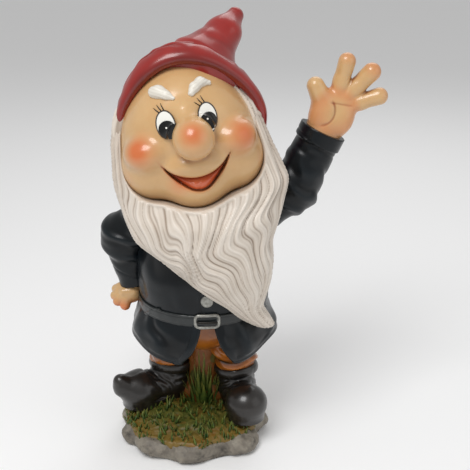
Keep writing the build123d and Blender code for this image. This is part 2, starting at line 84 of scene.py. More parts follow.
# Anchors measured on the frame
GROUND = box_mm("turf")[1][2]
ROCK_TOP = box_mm("rock_base")[1][2]
BELT_LOW, BELT_HIGH = box_mm("belt")
WAIST = (BELT_LOW + BELT_HIGH) / 2
BELT_RADIUS = (BELT_HIGH[0] - BELT_LOW[0]) / 2
COAT_TOP = box_mm("coat_body")[1][2]
HEM = box_mm("coat_skirt")[0][2]
HEAD_RADIUS = 50.0
HEAD_LOW, HEAD_HIGH = box_mm("head")
HEAD = np.array([HEAD_LOW[0], HEAD_HIGH[1], HEAD_HIGH[2]]) + np.array([1, -1, -1]) * HEAD_RADIUS
BOOT_CUFF_REACH = 19.0
LEFT_ANKLE = np.array([box_mm("left_boot")[0][0] + BOOT_CUFF_REACH,
                       box_mm("left_boot")[1][1] - BOOT_CUFF_REACH, GROUND])
RIGHT_ANKLE = np.array([box_mm("right_boot")[1][0] - BOOT_CUFF_REACH,
                        box_mm("right_boot")[1][1] - BOOT_CUFF_REACH, GROUND])


# ---- Arithmetic on fields: each gives about the distance to a surface, negative inside ----
def length(v):
    """Length of each vector."""
    return np.sqrt((v * v).sum(-1))


def blend(a, b, soft):
    """Union of two fields with a fillet about as wide as soft."""
    near = np.maximum(soft - np.abs(a - b), 0) / soft
    return np.minimum(a, b) - near * near * soft / 4


def meet(a, b, soft):
    """What two fields share, its edge rounded."""
    return -blend(-a, -b, soft)


def cut(a, b, soft):
    """Field a with field b taken away, its edge eased by soft."""
    near = np.maximum(soft - np.abs(a + b), 0) / soft
    return np.maximum(a, -b) + near * near * soft / 4


def ball(p, centre, radius):
    """Field of a ball."""
    return length(p - np.asarray(centre)) - radius


def oval(p, centre, radii):
    """Field of an ellipsoid that stands along the axes."""
    q = (p - np.asarray(centre)) / np.asarray(radii)
    size = length(q)
    return size * (size - 1) / np.maximum(length(q / np.asarray(radii)), 1e-6)


def rod(p, start, end, start_radius, end_radius):
    """Field of a round-ended taper between two points."""
    start = np.asarray(start, float)
    along = np.asarray(end, float) - start
    share = np.clip((p - start) @ along / (along @ along), 0, 1)
    return length(p - start - share[:, None] * along) - (
        start_radius + share * (end_radius - start_radius))


def chain(p, points, radii, soft):
    """Field of tapers joined end to end, with a fillet where each meets the next."""
    whole = rod(p, points[0], points[1], radii[0], radii[1])
    for i in range(1, len(points) - 1):
        whole = blend(whole, rod(p, points[i], points[i + 1], radii[i], radii[i + 1]), soft)
    return whole


def bump(distance, width):
    """A smooth ridge profile: 1 at no distance, falling to nothing past the width."""
    return np.exp(-(distance / width) ** 2)


def ease(value, low, high):
    """0 under low, 1 over high, smooth between."""
    share = np.clip((value - low) / (high - low), 0, 1)
    return share * share * (3 - 2 * share)


def noise(places, seed):
    """Smooth random values between -1 and 1 at two- or three-dimensional places."""
    whole = np.floor(places)
    part = places - whole
    part = part * part * (3 - 2 * part)
    whole = whole.astype(np.int64)
    total = np.zeros(len(places))
    primes = np.array([73856093, 19349663, 83492791][: places.shape[1]], np.int64)
    for corner in product((0, 1), repeat=places.shape[1]):
        key = ((whole + corner) * primes).sum(-1) + seed * 7919
        key = (key ^ (key >> 13)) * 1274126177 & 0x7FFFFFFF
        key = (key ^ (key >> 15)) * 668265263 & 0x7FFFFFFF
        share = np.where(np.array(corner) == 1, part, 1 - part).prod(-1)
        total += share * (key / 0x3FFFFFFF - 1)
    return total


SLOPE_STEP = 0.3


def slope(field, p):
    """Direction and steepness of a field at each place."""
    steps = SLOPE_STEP * np.eye(3)
    return np.stack([field(p + step) - field(p - step) for step in steps], -1) / (2 * SLOPE_STEP)


def unit(v):
    """One vector, or each of several, scaled to length 1."""
    return v / np.maximum(length(v), 1e-9)[..., None]


# ---- Head frame: u to the gnome's left, v up the face, w out of the face ----
HEAD_PITCH, HEAD_TURN, HEAD_ROLL = 8.0, 4.0, 10.5     # degrees
FACING = np.array(
    Matrix(((1, 0, 0), (0, 0, -1), (0, 1, 0)))
    @ Matrix.Rotation(-radians(HEAD_PITCH), 3, "X")
    @ Matrix.Rotation(radians(HEAD_TURN), 3, "Y")
    @ Matrix.Rotation(radians(HEAD_ROLL), 3, "Z"))


def to_face(p):
    """Places from the frame's axes into the head's."""
    return (p - HEAD) @ FACING


def from_face(q):
    """Places from the head's axes into the frame's."""
    return np.atleast_2d(q) @ FACING.T + HEAD


# ---- Meshes ----
BLOCK = 6


def sculpt(field, low, high, cell):
    """Vertices and quads of a field's zero level, sampled only near the surface."""
    low = np.asarray(low, float) - 3 * cell
    span = np.asarray(high, float) + 3 * cell - low
    counts = np.ceil(span / (cell * BLOCK)).astype(int)
    blocks = np.stack(np.meshgrid(*[np.arange(n) for n in counts], indexing="ij"), -1).reshape(-1, 3)
    rough = field(low + (blocks + 0.5) * cell * BLOCK)
    reach = cell * BLOCK * 1.2
    values = np.empty((*counts, BLOCK, BLOCK, BLOCK), np.float32)
    values[...] = (np.sign(rough) * reach).reshape(*counts, 1, 1, 1)
    inner = np.stack(np.meshgrid(*[np.arange(BLOCK)] * 3, indexing="ij"), -1).reshape(-1, 3)
    near = blocks[np.abs(rough) < reach]
    for some in np.array_split(near, len(near) // 2000 + 1):
        spots = low + (some[:, None, :] * BLOCK + inner[None]) * cell
        values[some[:, 0], some[:, 1], some[:, 2]] = field(spots.reshape(-1, 3)).reshape(
            -1, BLOCK, BLOCK, BLOCK)
    solid = np.ascontiguousarray(values.transpose(0, 3, 1, 4, 2, 5).reshape(counts * BLOCK))
    grid = openvdb.FloatGrid()
    grid.background = float(reach)
    grid.copyFromArray(solid)
    points, quads = grid.convertToQuads(isovalue=0.0)
    points = points.astype(float) * cell + low
    for _ in range(2):
        steep = slope(field, points)
        move = field(points) / np.maximum((steep * steep).sum(-1), 0.25)
        points -= steep * np.clip(move, -cell, cell)[:, None]
    return points, quads.astype(int)


def make_mesh(name, points, faces, paint=None):
    """An object from points in millimetres, with painted attributes on its points."""
    mesh = bpy.data.meshes.new(name)
    mesh.from_pydata((np.asarray(points) * MM).tolist(), [], [list(face) for face in faces])
    mesh.validate()
    mesh.shade_smooth()
    for key, values in (paint or {}).items():
        layer = mesh.attributes.new(key, "FLOAT", "POINT")
        layer.data.foreach_set("value", np.asarray(values, np.float32))
    piece = bpy.data.objects.new(name, mesh)
    bpy.context.scene.collection.objects.link(piece)
    return piece


CREASE_REACH = 3.5


def cast(name, field, low, high, cell, relief=None, paint=None):
    """A cast piece: the field's surface with a relief pushed along its normals.

    It carries how far nearby surfaces close each place in, for painted shade, and how high it stands in
    the relief.
    """
    cell = cell * 1.0
    points, faces = sculpt(field, low, high, cell)
    normal = unit(slope(field, points))
    # Painted shade: near 1 where nearby surfaces close a place in, 0 out in the open.
    occlusion_shade = np.clip(1 - field(points + normal * CREASE_REACH) / CREASE_REACH, 0, 1)
    layers = {"occlusion_shade": occlusion_shade, "relief": np.full(len(points), 0.5)}
    if relief is not None:
        lift, height = relief(points)
        layers["relief"] = height
    if paint is not None:
        layers.update(paint(points))
    if relief is not None:
        points = points + normal * lift[:, None]
    return make_mesh(name, points, faces, layers)


TUBE_UP = (0.31, 0.17, 0.93)   # along no tube, so a tube's rings never collapse
TUBE_END = 0.6                 # how far an end stands out, as a share of its radius


def tube(name, path, radii, sides):
    """A round bar along a path, with a radius at each point and blunt pointed ends."""
    path = np.asarray(path, float)
    radii = np.broadcast_to(np.asarray(radii, float), len(path)).copy()
    ahead = np.roll(path, -1, 0) - np.roll(path, 1, 0)
    ahead[0] = path[1] - path[0]
    ahead[-1] = path[-1] - path[-2]
    ahead = unit(ahead)
    side = unit(np.cross(ahead, TUBE_UP))
    up = np.cross(side, ahead)
    turns = np.arange(sides) * 2 * pi / sides
    rings = (path[:, None] + radii[:, None, None] * (
        np.cos(turns)[None, :, None] * side[:, None] + np.sin(turns)[None, :, None] * up[:, None]))
    count = len(path)
    points = np.vstack([rings.reshape(-1, 3), path[0] - ahead[0] * radii[0] * TUBE_END,
                        path[-1] + ahead[-1] * radii[-1] * TUBE_END])
    faces = []
    for i in range(count - 1):
        for k in range(sides):
            m = (k + 1) % sides
            faces.append((i * sides + k, i * sides + m, (i + 1) * sides + m, (i + 1) * sides + k))
    start = count * sides
    for k in range(sides):
        m = (k + 1) % sides
        faces.append((start, m, k))
        faces.append((start + 1, (count - 1) * sides + k, (count - 1) * sides + m))
    piece = make_mesh(name, points, faces)
    face_out(piece)
    return piece


def face_out(piece):
    """Turn a closed piece's faces outwards."""
    shape = bmesh.new()
    shape.from_mesh(piece.data)
    bmesh.ops.remove_doubles(shape, verts=shape.verts, dist=1e-7)
    bmesh.ops.recalc_face_normals(shape, faces=shape.faces)
    shape.to_mesh(piece.data)
    shape.free()
    piece.data.shade_smooth()


def join(name, pieces):
    """One object from several, all of them kept as they stand."""
    bpy.ops.object.select_all(action="DESELECT")
    for piece in pieces:
        piece.select_set(True)
    bpy.context.view_layer.objects.active = pieces[0]
    bpy.ops.object.join()
    pieces[0].name = name
    pieces[0].data.name = name
    return pieces[0]


def fit(piece, material, slot, *nodes):
    """Give a piece its paint and its body, and hide the CAD nodes it stands for. Its slot is not used.
    """
    piece.data.materials.clear()
    piece.data.materials.append(material)
    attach(piece, "root")
    if nodes:
        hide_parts(*nodes)
    return piece


def cast_over(node, name, field, under, over, cell, material, slot, relief=None, paint=None):
    """A cast piece in place of one CAD node, sampled in its box with some room on every side."""
    low, high = box_mm(node)
    return fit(cast(name, field, low - under, high + over, cell, relief, paint), material, slot, node)


# ---- Paint ----
def linear(code):
    """An sRGB hex colour as linear RGBA."""
    parts = [int(code[i:i + 2], 16) / 255 for i in (1, 3, 5)]
    return tuple(x / 12.92 if x <= 0.04045 else ((x + 0.055) / 1.055) ** 2.4 for x in parts) + (1.0,)


def add(tree, kind, links=None, **settings):
    """Add a node with its settings, its values and its links."""
    made = tree.nodes.new("ShaderNode" + kind)
    for key, value in settings.items():
        setattr(made, key, value)
    for key, value in (links or {}).items():
        if isinstance(value, bpy.types.NodeSocket):
            tree.links.new(value, made.inputs[key])
        else:
            made.inputs[key].default_value = value
    return made


def new_paint(name, roughness, coat=0.0):
    """An empty paint with its shader, and the object's coordinates in millimetres."""
    paint = bpy.data.materials.new(name)
    paint.use_nodes = True
    tree = paint.node_tree
    tree.nodes.clear()
    shader = add(tree, "BsdfPrincipled", {"Roughness": roughness, "Coat Weight": coat,
                                          "Coat Roughness": 0.12, "IOR": 1.5})
    add(tree, "OutputMaterial", {"Surface": shader.outputs[0]})
    place = add(tree, "TexCoord").outputs["Object"]
    return paint, tree, shader, place


def attribute(tree, name):
    """A painted attribute's value."""
    return add(tree, "Attribute", attribute_name=name).outputs["Fac"]


def ramp(tree, value, *stops):
    """A value turned into grey by (place, grey) stops."""
    made = add(tree, "ValToRGB", {"Fac": value})
    line = made.color_ramp.elements
    while len(line) < len(stops):
        line.new(0.5)
    for stop, (place, grey) in zip(line, stops):
        stop.position = place
        stop.color = (grey, grey, grey, 1)
    return made.outputs["Color"]


def mix(tree, share, a, b):
    """Two colours mixed by a share."""
    made = add(tree, "Mix", data_type="RGBA")
    for key, value in ((0, share), (6, a), (7, b)):
        if isinstance(value, bpy.types.NodeSocket):
            tree.links.new(value, made.inputs[key])
        else:
            made.inputs[key].default_value = value
    return made.outputs[2]


def speckle(tree, place, size_mm, detail=3.0):
    """Noise whose lumps are about size_mm across."""
    return add(tree, "TexNoise", {"Vector": place, "Scale": 1 / (size_mm * MM), "Detail": detail,
                                  "Roughness": 0.55}).outputs["Fac"]


def brushed_resin(name, base, shade_colour, raised, roughness=0.34, coat=0.0, mottle=0.5, patch_mm=14.0,
                  occlusion_shade_stops=((0.15, 0.0), (0.75, 1.0)), bump_mm=0.12, bump_size=1.6):
    """Brushed-on enamel over cast resin.

    Painted shade in the shade colour darkens the closed-in hollows and the grooves of the relief, and a
    painted highlight in the raised colour lightens its high places. The tone drifts in patches the
    size of a brush load, and it dries with a faint ripple that breaks the gloss.
    """
    paint, tree, shader, place = new_paint(name, roughness, coat)
    patch = ramp(tree, speckle(tree, place, patch_mm), (0.35, 0.0), (0.7, mottle))
    base = linear(base) if isinstance(base, str) else (*base, 1)
    colour = mix(tree, patch, base, linear(raised))
    # Painted highlight: the raised colour lightens the high places of the relief.
    high = ramp(tree, attribute(tree, "relief"), (0.55, 0.0), (0.95, 0.75))
    colour = mix(tree, high, colour, linear(raised))
    # Painted shade: the shade colour darkens the grooves of the relief.
    low = ramp(tree, attribute(tree, "relief"), (0.05, 1.0), (0.45, 0.0))
    colour = mix(tree, low, colour, linear(shade_colour))
    # Painted shade: the shade colour darkens places that nearby surfaces close in.
    deep = ramp(tree, attribute(tree, "occlusion_shade"), *occlusion_shade_stops)
    colour = mix(tree, deep, colour, linear(shade_colour))
    tree.links.new(colour, shader.inputs["Base Color"])
    ripple = add(tree, "Bump", {"Height": speckle(tree, place, bump_size, 2.0), "Strength": 0.25,
                                "Distance": bump_mm * MM})
    tree.links.new(ripple.outputs[0], shader.inputs["Normal"])
    return paint, tree, shader, colour


# ---- Base: rock rim, turf, grass ----
class RockSettings(bpy.types.PropertyGroup):
    """Stone rim."""

    colour: FloatVectorProperty(name="Stone", description="Grey stone paint", size=3, min=0, max=1,
                                subtype="COLOR", default=linear("#6e675d")[:3])
    lumps: IntProperty(name="Lumps", description="Swellings around the rim", default=9, min=4, max=40)
    roughness_mm: FloatProperty(name="Chiselling", description="Depth of the chipped faces, mm",
                                default=1.7, min=0, max=4)


class GrassSettings(bpy.types.PropertyGroup):
    """The turf's short blades."""

    seed: IntProperty(name="Seed", description="Which scatter of blades", default=7, min=0)
    blades_per_m2: FloatProperty(name="Density", description="Short blades in a square metre",
                                 default=62000, min=0)
    blade_length: FloatProperty(name="Blade length", description="Length of a short blade",
                                default=0.0082, min=0.001, subtype="DISTANCE", unit="LENGTH")


def base_outline(turn, inset):
    """Half-widths of the oval base at an angle from +X, drawn in by an inset."""
    low, high = box_mm("rock_base")
    half = (high - low)[:2] / 2 - inset
    return 1 / sqrt((cos(turn) / half[0]) ** 2 + (sin(turn) / half[1]) ** 2)


def rock_field(p):
    """A low slab with a rim of fused stones."""
    low, high = box_mm("rock_base")
    centre = (low + high) / 2 - [2, 3, 0]
    lumps = bpy.context.scene.gnome_rock.lumps
    flat = p[:, :2] - centre[:2]
    half = (high - low)[:2] / 2 - 6
    size = length(flat / half)
    slab = np.maximum(size * (size - 1) / np.maximum(length(flat / half ** 2), 1e-6),
                      np.abs(p[:, 2] - 6) - 7.0)
    rim = slab
    for i in range(lumps):
        turn = 2 * pi * (i + 0.25 * sin(5.1 * i)) / lumps
        out = base_outline(turn, 14.5 + 2.0 * sin(3.7 * i))
        stone = centre[:2] + np.array([cos(turn), sin(turn)]) * out
        radii = np.array([17, 17, 8.2]) * (1 + 0.1 * sin(7.3 * i))
        rim = blend(rim, oval(p, [*stone, 6.6 + 0.9 * sin(2.3 * i)], radii), 5)
    return np.maximum(rim, 0.4 - p[:, 2])


def rock_relief(p):
    """Chipped facets with a fine grit."""
    depth = bpy.context.scene.gnome_rock.roughness_mm
    lump = noise(p / 9.0, 3) + 0.5 * noise(p / 3.6, 4)
    grit = noise(p / 1.1, 5)
    lift = depth * (0.55 * np.tanh(1.8 * lump) + 0.14 * grit)
    lift *= ease(p[:, 2], 0.8, 3.0)
    return lift, np.clip(0.5 + 0.33 * lump + 0.16 * grit, 0, 1)


def turf_height(p):
    """Turf surface over a place: a mound that rises under the boots and the tuft."""
    low, high = box_mm("turf")
    centre = (low + high) / 2
    flat = (p[:, :2] - centre[:2]) / ((high - low)[:2] / 2)
    out = length(flat)
    height = GROUND - 0.6 - 6.0 * ease(out, 0.62, 1.06)
    for foot in (LEFT_ANKLE, RIGHT_ANKLE):
        height += 2.2 * bump(length(p[:, :2] - foot[:2]), 20)
    height += 1.6 * bump(length(p[:, :2] - [9, -16]), 14)
    return height + 0.7 * noise(p[:, :2] / 9, 11) + 0.35 * noise(p[:, :2] / 3.4, 12)


def turf_field(p):
    """The turf's mound, lying over the rock."""
    low, high = box_mm("turf")
    centre = (low + high) / 2
    half = (high - low)[:2] / 2 + 2.2
    flat = p[:, :2] - centre[:2] + [1.5, 1.5]
    turn = np.arctan2(flat[:, 1], flat[:, 0])
    wander = 1 + 0.02 * np.sin(7 * turn) + 0.015 * np.sin(13 * turn + 1)
    size = length(flat / half) / wander
    side = (size - 1) * half.mean()
    top = (p[:, 2] - turf_height(p)) * 0.9
    return np.maximum(cut(top, -side, 3.0), ROCK_TOP - 4 - p[:, 2])


def soil_prop_field(p):
    """The bank of soil that joins the boots and rises to the trousers between them."""
    low, high = box_mm("grass_tuft")
    root = (low + high) / 2
    top = [root[0], root[1] + 4, high[2] + 4]
    bank = rod(p, [root[0], root[1] + 6, GROUND - 2], top, 14, 12)
    for foot in (LEFT_ANKLE, RIGHT_ANKLE):
        side = np.sign(foot[0] - root[0])
        spur = rod(p, [root[0], root[1] + 6, GROUND + 2], foot + [-6 * side, 2, 8], 11, 9)
        bank = blend(bank, spur, 10)
    return np.maximum(bank, GROUND - 3 - p[:, 2])


def soil_prop_relief(p):
    """Soil that has run down the bank in lumps."""
    run = noise(p / [4, 4, 9], 31)
    return 0.8 * run + 0.3 * noise(p / 2, 32), np.clip(0.5 + 0.5 * run, 0, 1)


def soil_prop_layers(p):
    """Mostly bare soil, with green left in patches."""
    return {"soil": 1 - ease(noise(p / 9, 33), 0.2, 0.5), "rim": np.zeros(len(p))}


def turf_relief(p):
    """Combed blades carved in the casting."""
    comb = noise(np.stack([p[:, 0] / 1.5, p[:, 1] / 1.5, p[:, 2] / 5], -1), 13)
    fine = noise(p / 0.9, 14)
    return 0.55 * comb + 0.2 * fine, np.clip(0.5 + 0.35 * comb + 0.2 * fine, 0, 1)


def turf_paint_layers(p):
    """Where the paint turns to soil, and where it yellows at the rim."""
    low, high = box_mm("turf")
    centre = (low + high) / 2
    out = length((p[:, :2] - centre[:2]) / ((high - low)[:2] / 2))
    soil = np.zeros(len(p))
    for foot, reach in ((LEFT_ANKLE, 26), (RIGHT_ANKLE, 30)):
        soil = np.maximum(soil, bump(length(p[:, :2] - foot[:2]), reach))
    soil *= 0.65 + 0.5 * noise(p[:, :2] / 8, 15)
    soil = np.maximum(soil, ease(noise(p[:, :2] / 6, 16), 0.35, 0.7) * 0.5)
    return {"soil": np.clip(soil, 0, 1), "rim": ease(out, 0.72, 1.0)}


def turf_paint():
    """Model turf: dark green, yellowed at the edge, rubbed with orange soil by the feet."""
    # Painted shade in the dark green, painted highlight in the olive on the raised blades.
    paint, tree, shader, colour = brushed_resin("shade-and-highlight turf enamel", "#474d18", "#1f200a",
                                                "#75662a", 0.5, mottle=0.6, patch_mm=9)
    yellow = mix(tree, ramp(tree, attribute(tree, "rim"), (0.0, 0.0), (1.0, 0.75)), colour,
                 linear("#7d5f22"))
    soil = mix(tree, ramp(tree, attribute(tree, "soil"), (0.35, 0.0), (0.9, 0.8)), yellow,
               linear("#8a4a16"))
    tree.links.new(soil, shader.inputs["Base Color"])
    return paint


def grass_paint():
    """Carved and painted grass: deep green with a yellowed rub on the blades' tips."""
    paint, tree, shader, place = new_paint("satin grass enamel", 0.42)
    tone = ramp(tree, speckle(tree, place, 5, 2), (0.3, 0.0), (0.75, 1.0))
    colour = mix(tree, tone, linear("#23481a"), linear("#64702a"))
    tip = ramp(tree, attribute(tree, "tip"), (0.55, 0.0), (1.0, 0.6))
    tree.links.new(mix(tree, tip, colour, linear("#a09a45")), shader.inputs["Base Color"])
    return paint


BLADE_LEAN = 0.5            # radians, either way
BLADE_SIZES = (0.55, 1.15)


def blade_scatter(blade, seed, density, material):
    """Node tree that stands a bent blade, sized at random, all over an object's faces."""
    tree = bpy.data.node_groups.new("Grass blades", "GeometryNodeTree")
    face = tree.interface
    face.new_socket("Geometry", in_out="INPUT", socket_type="NodeSocketGeometry")
    for name, kind, value in (("Density", "NodeSocketFloat", density), ("Seed", "NodeSocketInt", seed)):
        socket = face.new_socket(name, in_out="INPUT", socket_type=kind)
        socket.default_value = value
    face.new_socket("Geometry", in_out="OUTPUT", socket_type="NodeSocketGeometry")
    start, end, spread, shape, lean, size, put, real, coat = (tree.nodes.new(kind) for kind in (
        "NodeGroupInput", "NodeGroupOutput", "GeometryNodeDistributePointsOnFaces",
        "GeometryNodeObjectInfo", "FunctionNodeRandomValue", "FunctionNodeRandomValue",
        "GeometryNodeInstanceOnPoints", "GeometryNodeRealizeInstances", "GeometryNodeSetMaterial"))
    shape.inputs["Object"].default_value = blade
    coat.inputs["Material"].default_value = material
    lean.data_type = "FLOAT_VECTOR"
    lean.inputs[0].default_value = (-BLADE_LEAN, -BLADE_LEAN, 0.0)
    lean.inputs[1].default_value = (BLADE_LEAN, BLADE_LEAN, 6.283)
    size.data_type = "FLOAT"
    size.inputs[2].default_value, size.inputs[3].default_value = BLADE_SIZES
    link = tree.links.new
    link(start.outputs["Geometry"], spread.inputs["Mesh"])
    link(start.outputs["Density"], spread.inputs["Density"])
    link(start.outputs["Seed"], spread.inputs["Seed"])
    link(start.outputs["Seed"], lean.inputs["Seed"])
    link(start.outputs["Seed"], size.inputs["Seed"])
    link(spread.outputs["Points"], put.inputs["Points"])
    link(shape.outputs["Geometry"], put.inputs["Instance"])
    link(lean.outputs[0], put.inputs["Rotation"])
    link(size.outputs[1], put.inputs["Scale"])
    link(put.outputs["Instances"], real.inputs["Geometry"])
    link(real.outputs["Geometry"], coat.inputs["Geometry"])
    link(coat.outputs["Geometry"], end.inputs["Geometry"])
    return tree


def leaf(name, base, bend, length_mm, width, thick, turn, steps):
    """A flat tapered leaf that stands at a place and bends over towards a bearing."""
    share = np.linspace(0, 1, steps)
    lean = bend * share ** 1.7
    rise = length_mm * (share - 0.25 * bend / length_mm * share ** 2)
    away = np.array([cos(turn), sin(turn), 0])
    across = np.array([-sin(turn), cos(turn), 0])
    spine = np.asarray(base, float) + lean[:, None] * away + rise[:, None] * np.array([0, 0, 1])
    wide = width * (1 - share ** 2.2) * (0.72 + 0.5 * np.sin(pi * np.minimum(share * 1.4, 1))) + 0.12
    deep = thick * (1 - 0.75 * share)
    rings = np.stack([spine - across * wide[:, None], spine - away * deep[:, None],
                      spine + across * wide[:, None], spine + away * deep[:, None] * 0.35], 1)
    points = np.vstack([rings.reshape(-1, 3), spine[-1] + [0, 0, 0.3]])
    faces = [(3, 2, 1, 0)]
    for i in range(steps - 1):
        for k in range(4):
            m = (k + 1) % 4
            faces.append((i * 4 + k, i * 4 + m, i * 4 + 4 + m, i * 4 + 4 + k))
    last = (steps - 1) * 4
    faces += [(last + k, last + (k + 1) % 4, last + 4) for k in range(4)]
    tips = np.append(np.repeat(share, 4), 1.0)
    piece = make_mesh(name, points, faces, {"tip": tips})
    face_out(piece)
    return piece


TUFT_LEAVES = 58


class GNOME_OT_base(bpy.types.Operator):
    """Rock rim and turf with its grass"""

    bl_idname = "gnome.base"
    bl_label = "Base and grass"

    def execute(self, context):
        # Painted shade in the dark grey, painted highlight in the pale grey on the raised stone.
        stone = brushed_resin("shade-and-highlight stone enamel", context.scene.gnome_rock.colour, "#37332d",
                              "#a39b8c", 0.6, mottle=0.55, patch_mm=12, bump_mm=0.3, bump_size=1.1)[0]
        cast_over("rock_base", "rock_rim", rock_field, [7, 8, 2], [4, 4, 1], 1.0, stone, "rock_paint",
                  rock_relief)
        turf = cast_over("turf", "turf_mound", turf_field, [4, 4, 5], 4, 0.95, turf_paint(),
                         "turf_paint", turf_relief, turf_paint_layers)
        grass = grass_paint()
        settings = context.scene.gnome_grass
        blade = leaf("blade", (0, 0, -0.6), 1.6, settings.blade_length / MM, 1.05, 0.4, 0, 4)
        lawn = turf.copy()
        lawn.data = turf.data.copy()
        bpy.context.scene.collection.objects.link(lawn)
        scatter = lawn.modifiers.new("Blades", "NODES")
        scatter.node_group = blade_scatter(blade, settings.seed, settings.blades_per_m2, grass)
        inputs = {s.name: s.identifier for s in scatter.node_group.interface.items_tree
                  if s.in_out == "INPUT"}
        scale = 1.0
        scatter[inputs["Density"]] = settings.blades_per_m2 * scale
        scatter[inputs["Seed"]] = settings.seed
        view = bpy.context.evaluated_depsgraph_get()
        mesh = bpy.data.meshes.new_from_object(lawn.evaluated_get(view), depsgraph=view)
        blades = bpy.data.objects.new("short_blades", mesh)
        mesh.name = "short_blades"
        for spare in (lawn, blade):
            bpy.data.objects.remove(spare)
        bpy.context.scene.collection.objects.link(blades)
        mesh.shade_smooth()
        fit(blades, grass, "turf_paint")
        tuft_low, tuft_high = box_mm("grass_tuft")
        root = (tuft_low + tuft_high) / 2
        reach = (tuft_high - tuft_low)[0] / 2
        pick = np.random.default_rng(4)
        leaves = []
        for i in range(TUFT_LEAVES):
            share = i / TUFT_LEAVES
            turn = -pi / 2 + pick.uniform(-1.5, 1.5)
            out = reach * (1.2 + 0.9 * share) * pick.uniform(0.85, 1.15)
            tall = (tuft_high[2] - GROUND) * pick.uniform(0.7, 0.92) * (1.12 - 0.75 * share)
            place = (root[0] + 0.8 * out * cos(turn), root[1] + 4 + out * sin(turn), GROUND - 2)
            leaves.append(leaf(f"leaf_{i}", place, pick.uniform(2, 7) * (0.4 + share), tall,
                               pick.uniform(1.9, 2.9), 0.8, turn, 9))
        tuft = join("tuft_leaves", leaves)
        fit(tuft, grass, "turf_paint", "grass_tuft")
        prop = cast("soil_prop", soil_prop_field, [-16, -22, GROUND - 3],
                    [34, 30, tuft_high[2] + 8], 0.9, soil_prop_relief, soil_prop_layers)
        fit(prop, turf.data.materials[0], "turf_paint")
        return {"FINISHED"}


# ---- Boots and trousers ----
BOOT_HEIGHT = box_mm("left_boot")[1][2] - GROUND
TOE_OUT = {"left": radians(16), "right": radians(-58)}
ANKLES = {"left": LEFT_ANKLE, "right": RIGHT_ANKLE}
TOE_FORWARD = 30.0


def in_boot(p, side):
    """Places along the foot, across it and over the ground."""
    turn = TOE_OUT[side]
    flat = p - ANKLES[side]
    return np.stack([flat[:, 0] * sin(turn) - flat[:, 1] * cos(turn),
                     flat[:, 0] * cos(turn) + flat[:, 1] * sin(turn), flat[:, 2]], -1)


def boot_field(p, side):
    """A soft boot with a bulb toe, a turned-up point on the right one, a rolled cuff and a sole."""
    q = in_boot(p, side)
    foot = blend(rod(q, (-4, 0, 12), (22, 0, 11), 14, 13.5),
                 oval(q, (TOE_FORWARD, 0, 12.5), (17, 17.5, 16)), 4)
    shaft = rod(q, (0, 0, 14), (-1, 0, BOOT_HEIGHT - 6), 14.5, 15.5)
    boot = blend(foot, shaft, 9)
    if side == "right":
        boot = blend(boot, chain(q, [(32, 0, 15), (44, 0, 20), (48, 0, 26)], [14, 9, 4.6], 5), 5)
    around = length(q[:, :2] - [-1, 0])
    lip = BOOT_HEIGHT - 4.5 + 1.2 * np.sin(np.arctan2(q[:, 1], q[:, 0]) * 2 + 0.8)
    cuff = np.sqrt(((around - 16.6) * 1.3) ** 2 + ((q[:, 2] - lip) * 0.75) ** 2) - 3.2
    boot = blend(boot, cuff, 1.2)
    sole = rod(q * [1, 1, 0], (-5, 0, 0), (29, 0, 0), 13.2, 15.4)
    sole = np.maximum(sole, np.abs(q[:, 2] - 1.8) - 3.0)
    boot = blend(boot, sole, 2.5)
    well = np.maximum(around - 11.5, BOOT_HEIGHT - 9 - q[:, 2])
    return np.maximum(cut(boot, well, 2.0), -q[:, 2] - 1.5)


def boot_relief(side):
    """Leather that wrinkles over the instep and round the ankle, and a seam across the toe."""
    def relief(p):
        q = in_boot(p, side)
        wave = noise(q / [11, 11, 8], 21) * 1.1
        instep = bump(q[:, 0] - 13, 9) * ease(q[:, 2], 8, 16) * ease(-q[:, 2], -30, -24)
        folds = np.sin((q[:, 0] * 0.75 - q[:, 2] * 0.55 + wave * 3) * 1.05)
        ankle = ease(q[:, 2], 12, 18) * ease(-q[:, 2], -27, -22) * ease(-q[:, 0], -8, 2)
        rings = np.sin(q[:, 2] * 0.95 + wave * 2.5)
        toe = bump(length(q[:, :2] - [13, 0]) - 8.5 - 0.1 * q[:, 2], 1.1) * ease(q[:, 0], 12, 18)
        height = 0.7 * instep * folds + 0.45 * ankle * rings - 0.9 * toe * ease(q[:, 2], 12, 18)
        return height + 0.12 * wave, np.clip(0.5 + 0.45 * height, 0, 1)
    return relief


HIP_HEIGHT = box_mm("left_trouser_leg")[1][2] - 20.0


def trouser_field(p, side):
    """One bloused leg, gathered into its boot."""
    sign = 1 if side == "left" else -1
    ankle = ANKLES[side]
    hip = np.array([WAIST[0] + 20 * sign, WAIST[1], HIP_HEIGHT])
    top = ankle + [0, 0, BOOT_HEIGHT]
    knee = hip * 0.35 + top * 0.65 + [1.5 * sign, -2, 2]
    return chain(p, [ankle + [0, 0, BOOT_HEIGHT - 8], top + [0, 0, 2], knee, hip],
                 [12, 15.5, 18, 21], 4)


def trouser_relief(side):
    """Slack cloth that falls in slanting folds to the boot."""
    def relief(p):
        q = p - ANKLES[side]
        turn = np.arctan2(q[:, 1], q[:, 0])
        wave = noise(p / 13, 22)
        rings = np.sin(q[:, 2] * 0.52 + 1.3 * np.sin(turn * 2 + 0.5) + 1.8 * wave)
        small = np.sin(q[:, 2] * 0.95 + 2.1 * np.sin(turn * 3 + 1) + 2.4 * wave)
        low = ease(-q[:, 2], -76, -46)
        height = (1.15 * rings + 0.45 * small) * (0.35 + 0.65 * low)
        return height, np.clip(0.5 + 0.34 * height, 0, 1)
    return relief


def seat_field(p):
    """The seat of the trousers, flat where the coat covers it."""
    low, high = box_mm("trouser_seat")
    centre = np.array([*WAIST[:2], high[2] - 4])
    return np.maximum(oval(p, centre, (43, 43, centre[2] - low[2])), p[:, 2] - high[2])


def seat_relief(p):
    """Broad slack folds."""
    wave = noise(p / 11, 23)
    return 0.9 * wave, np.clip(0.5 + 0.4 * wave, 0, 1)


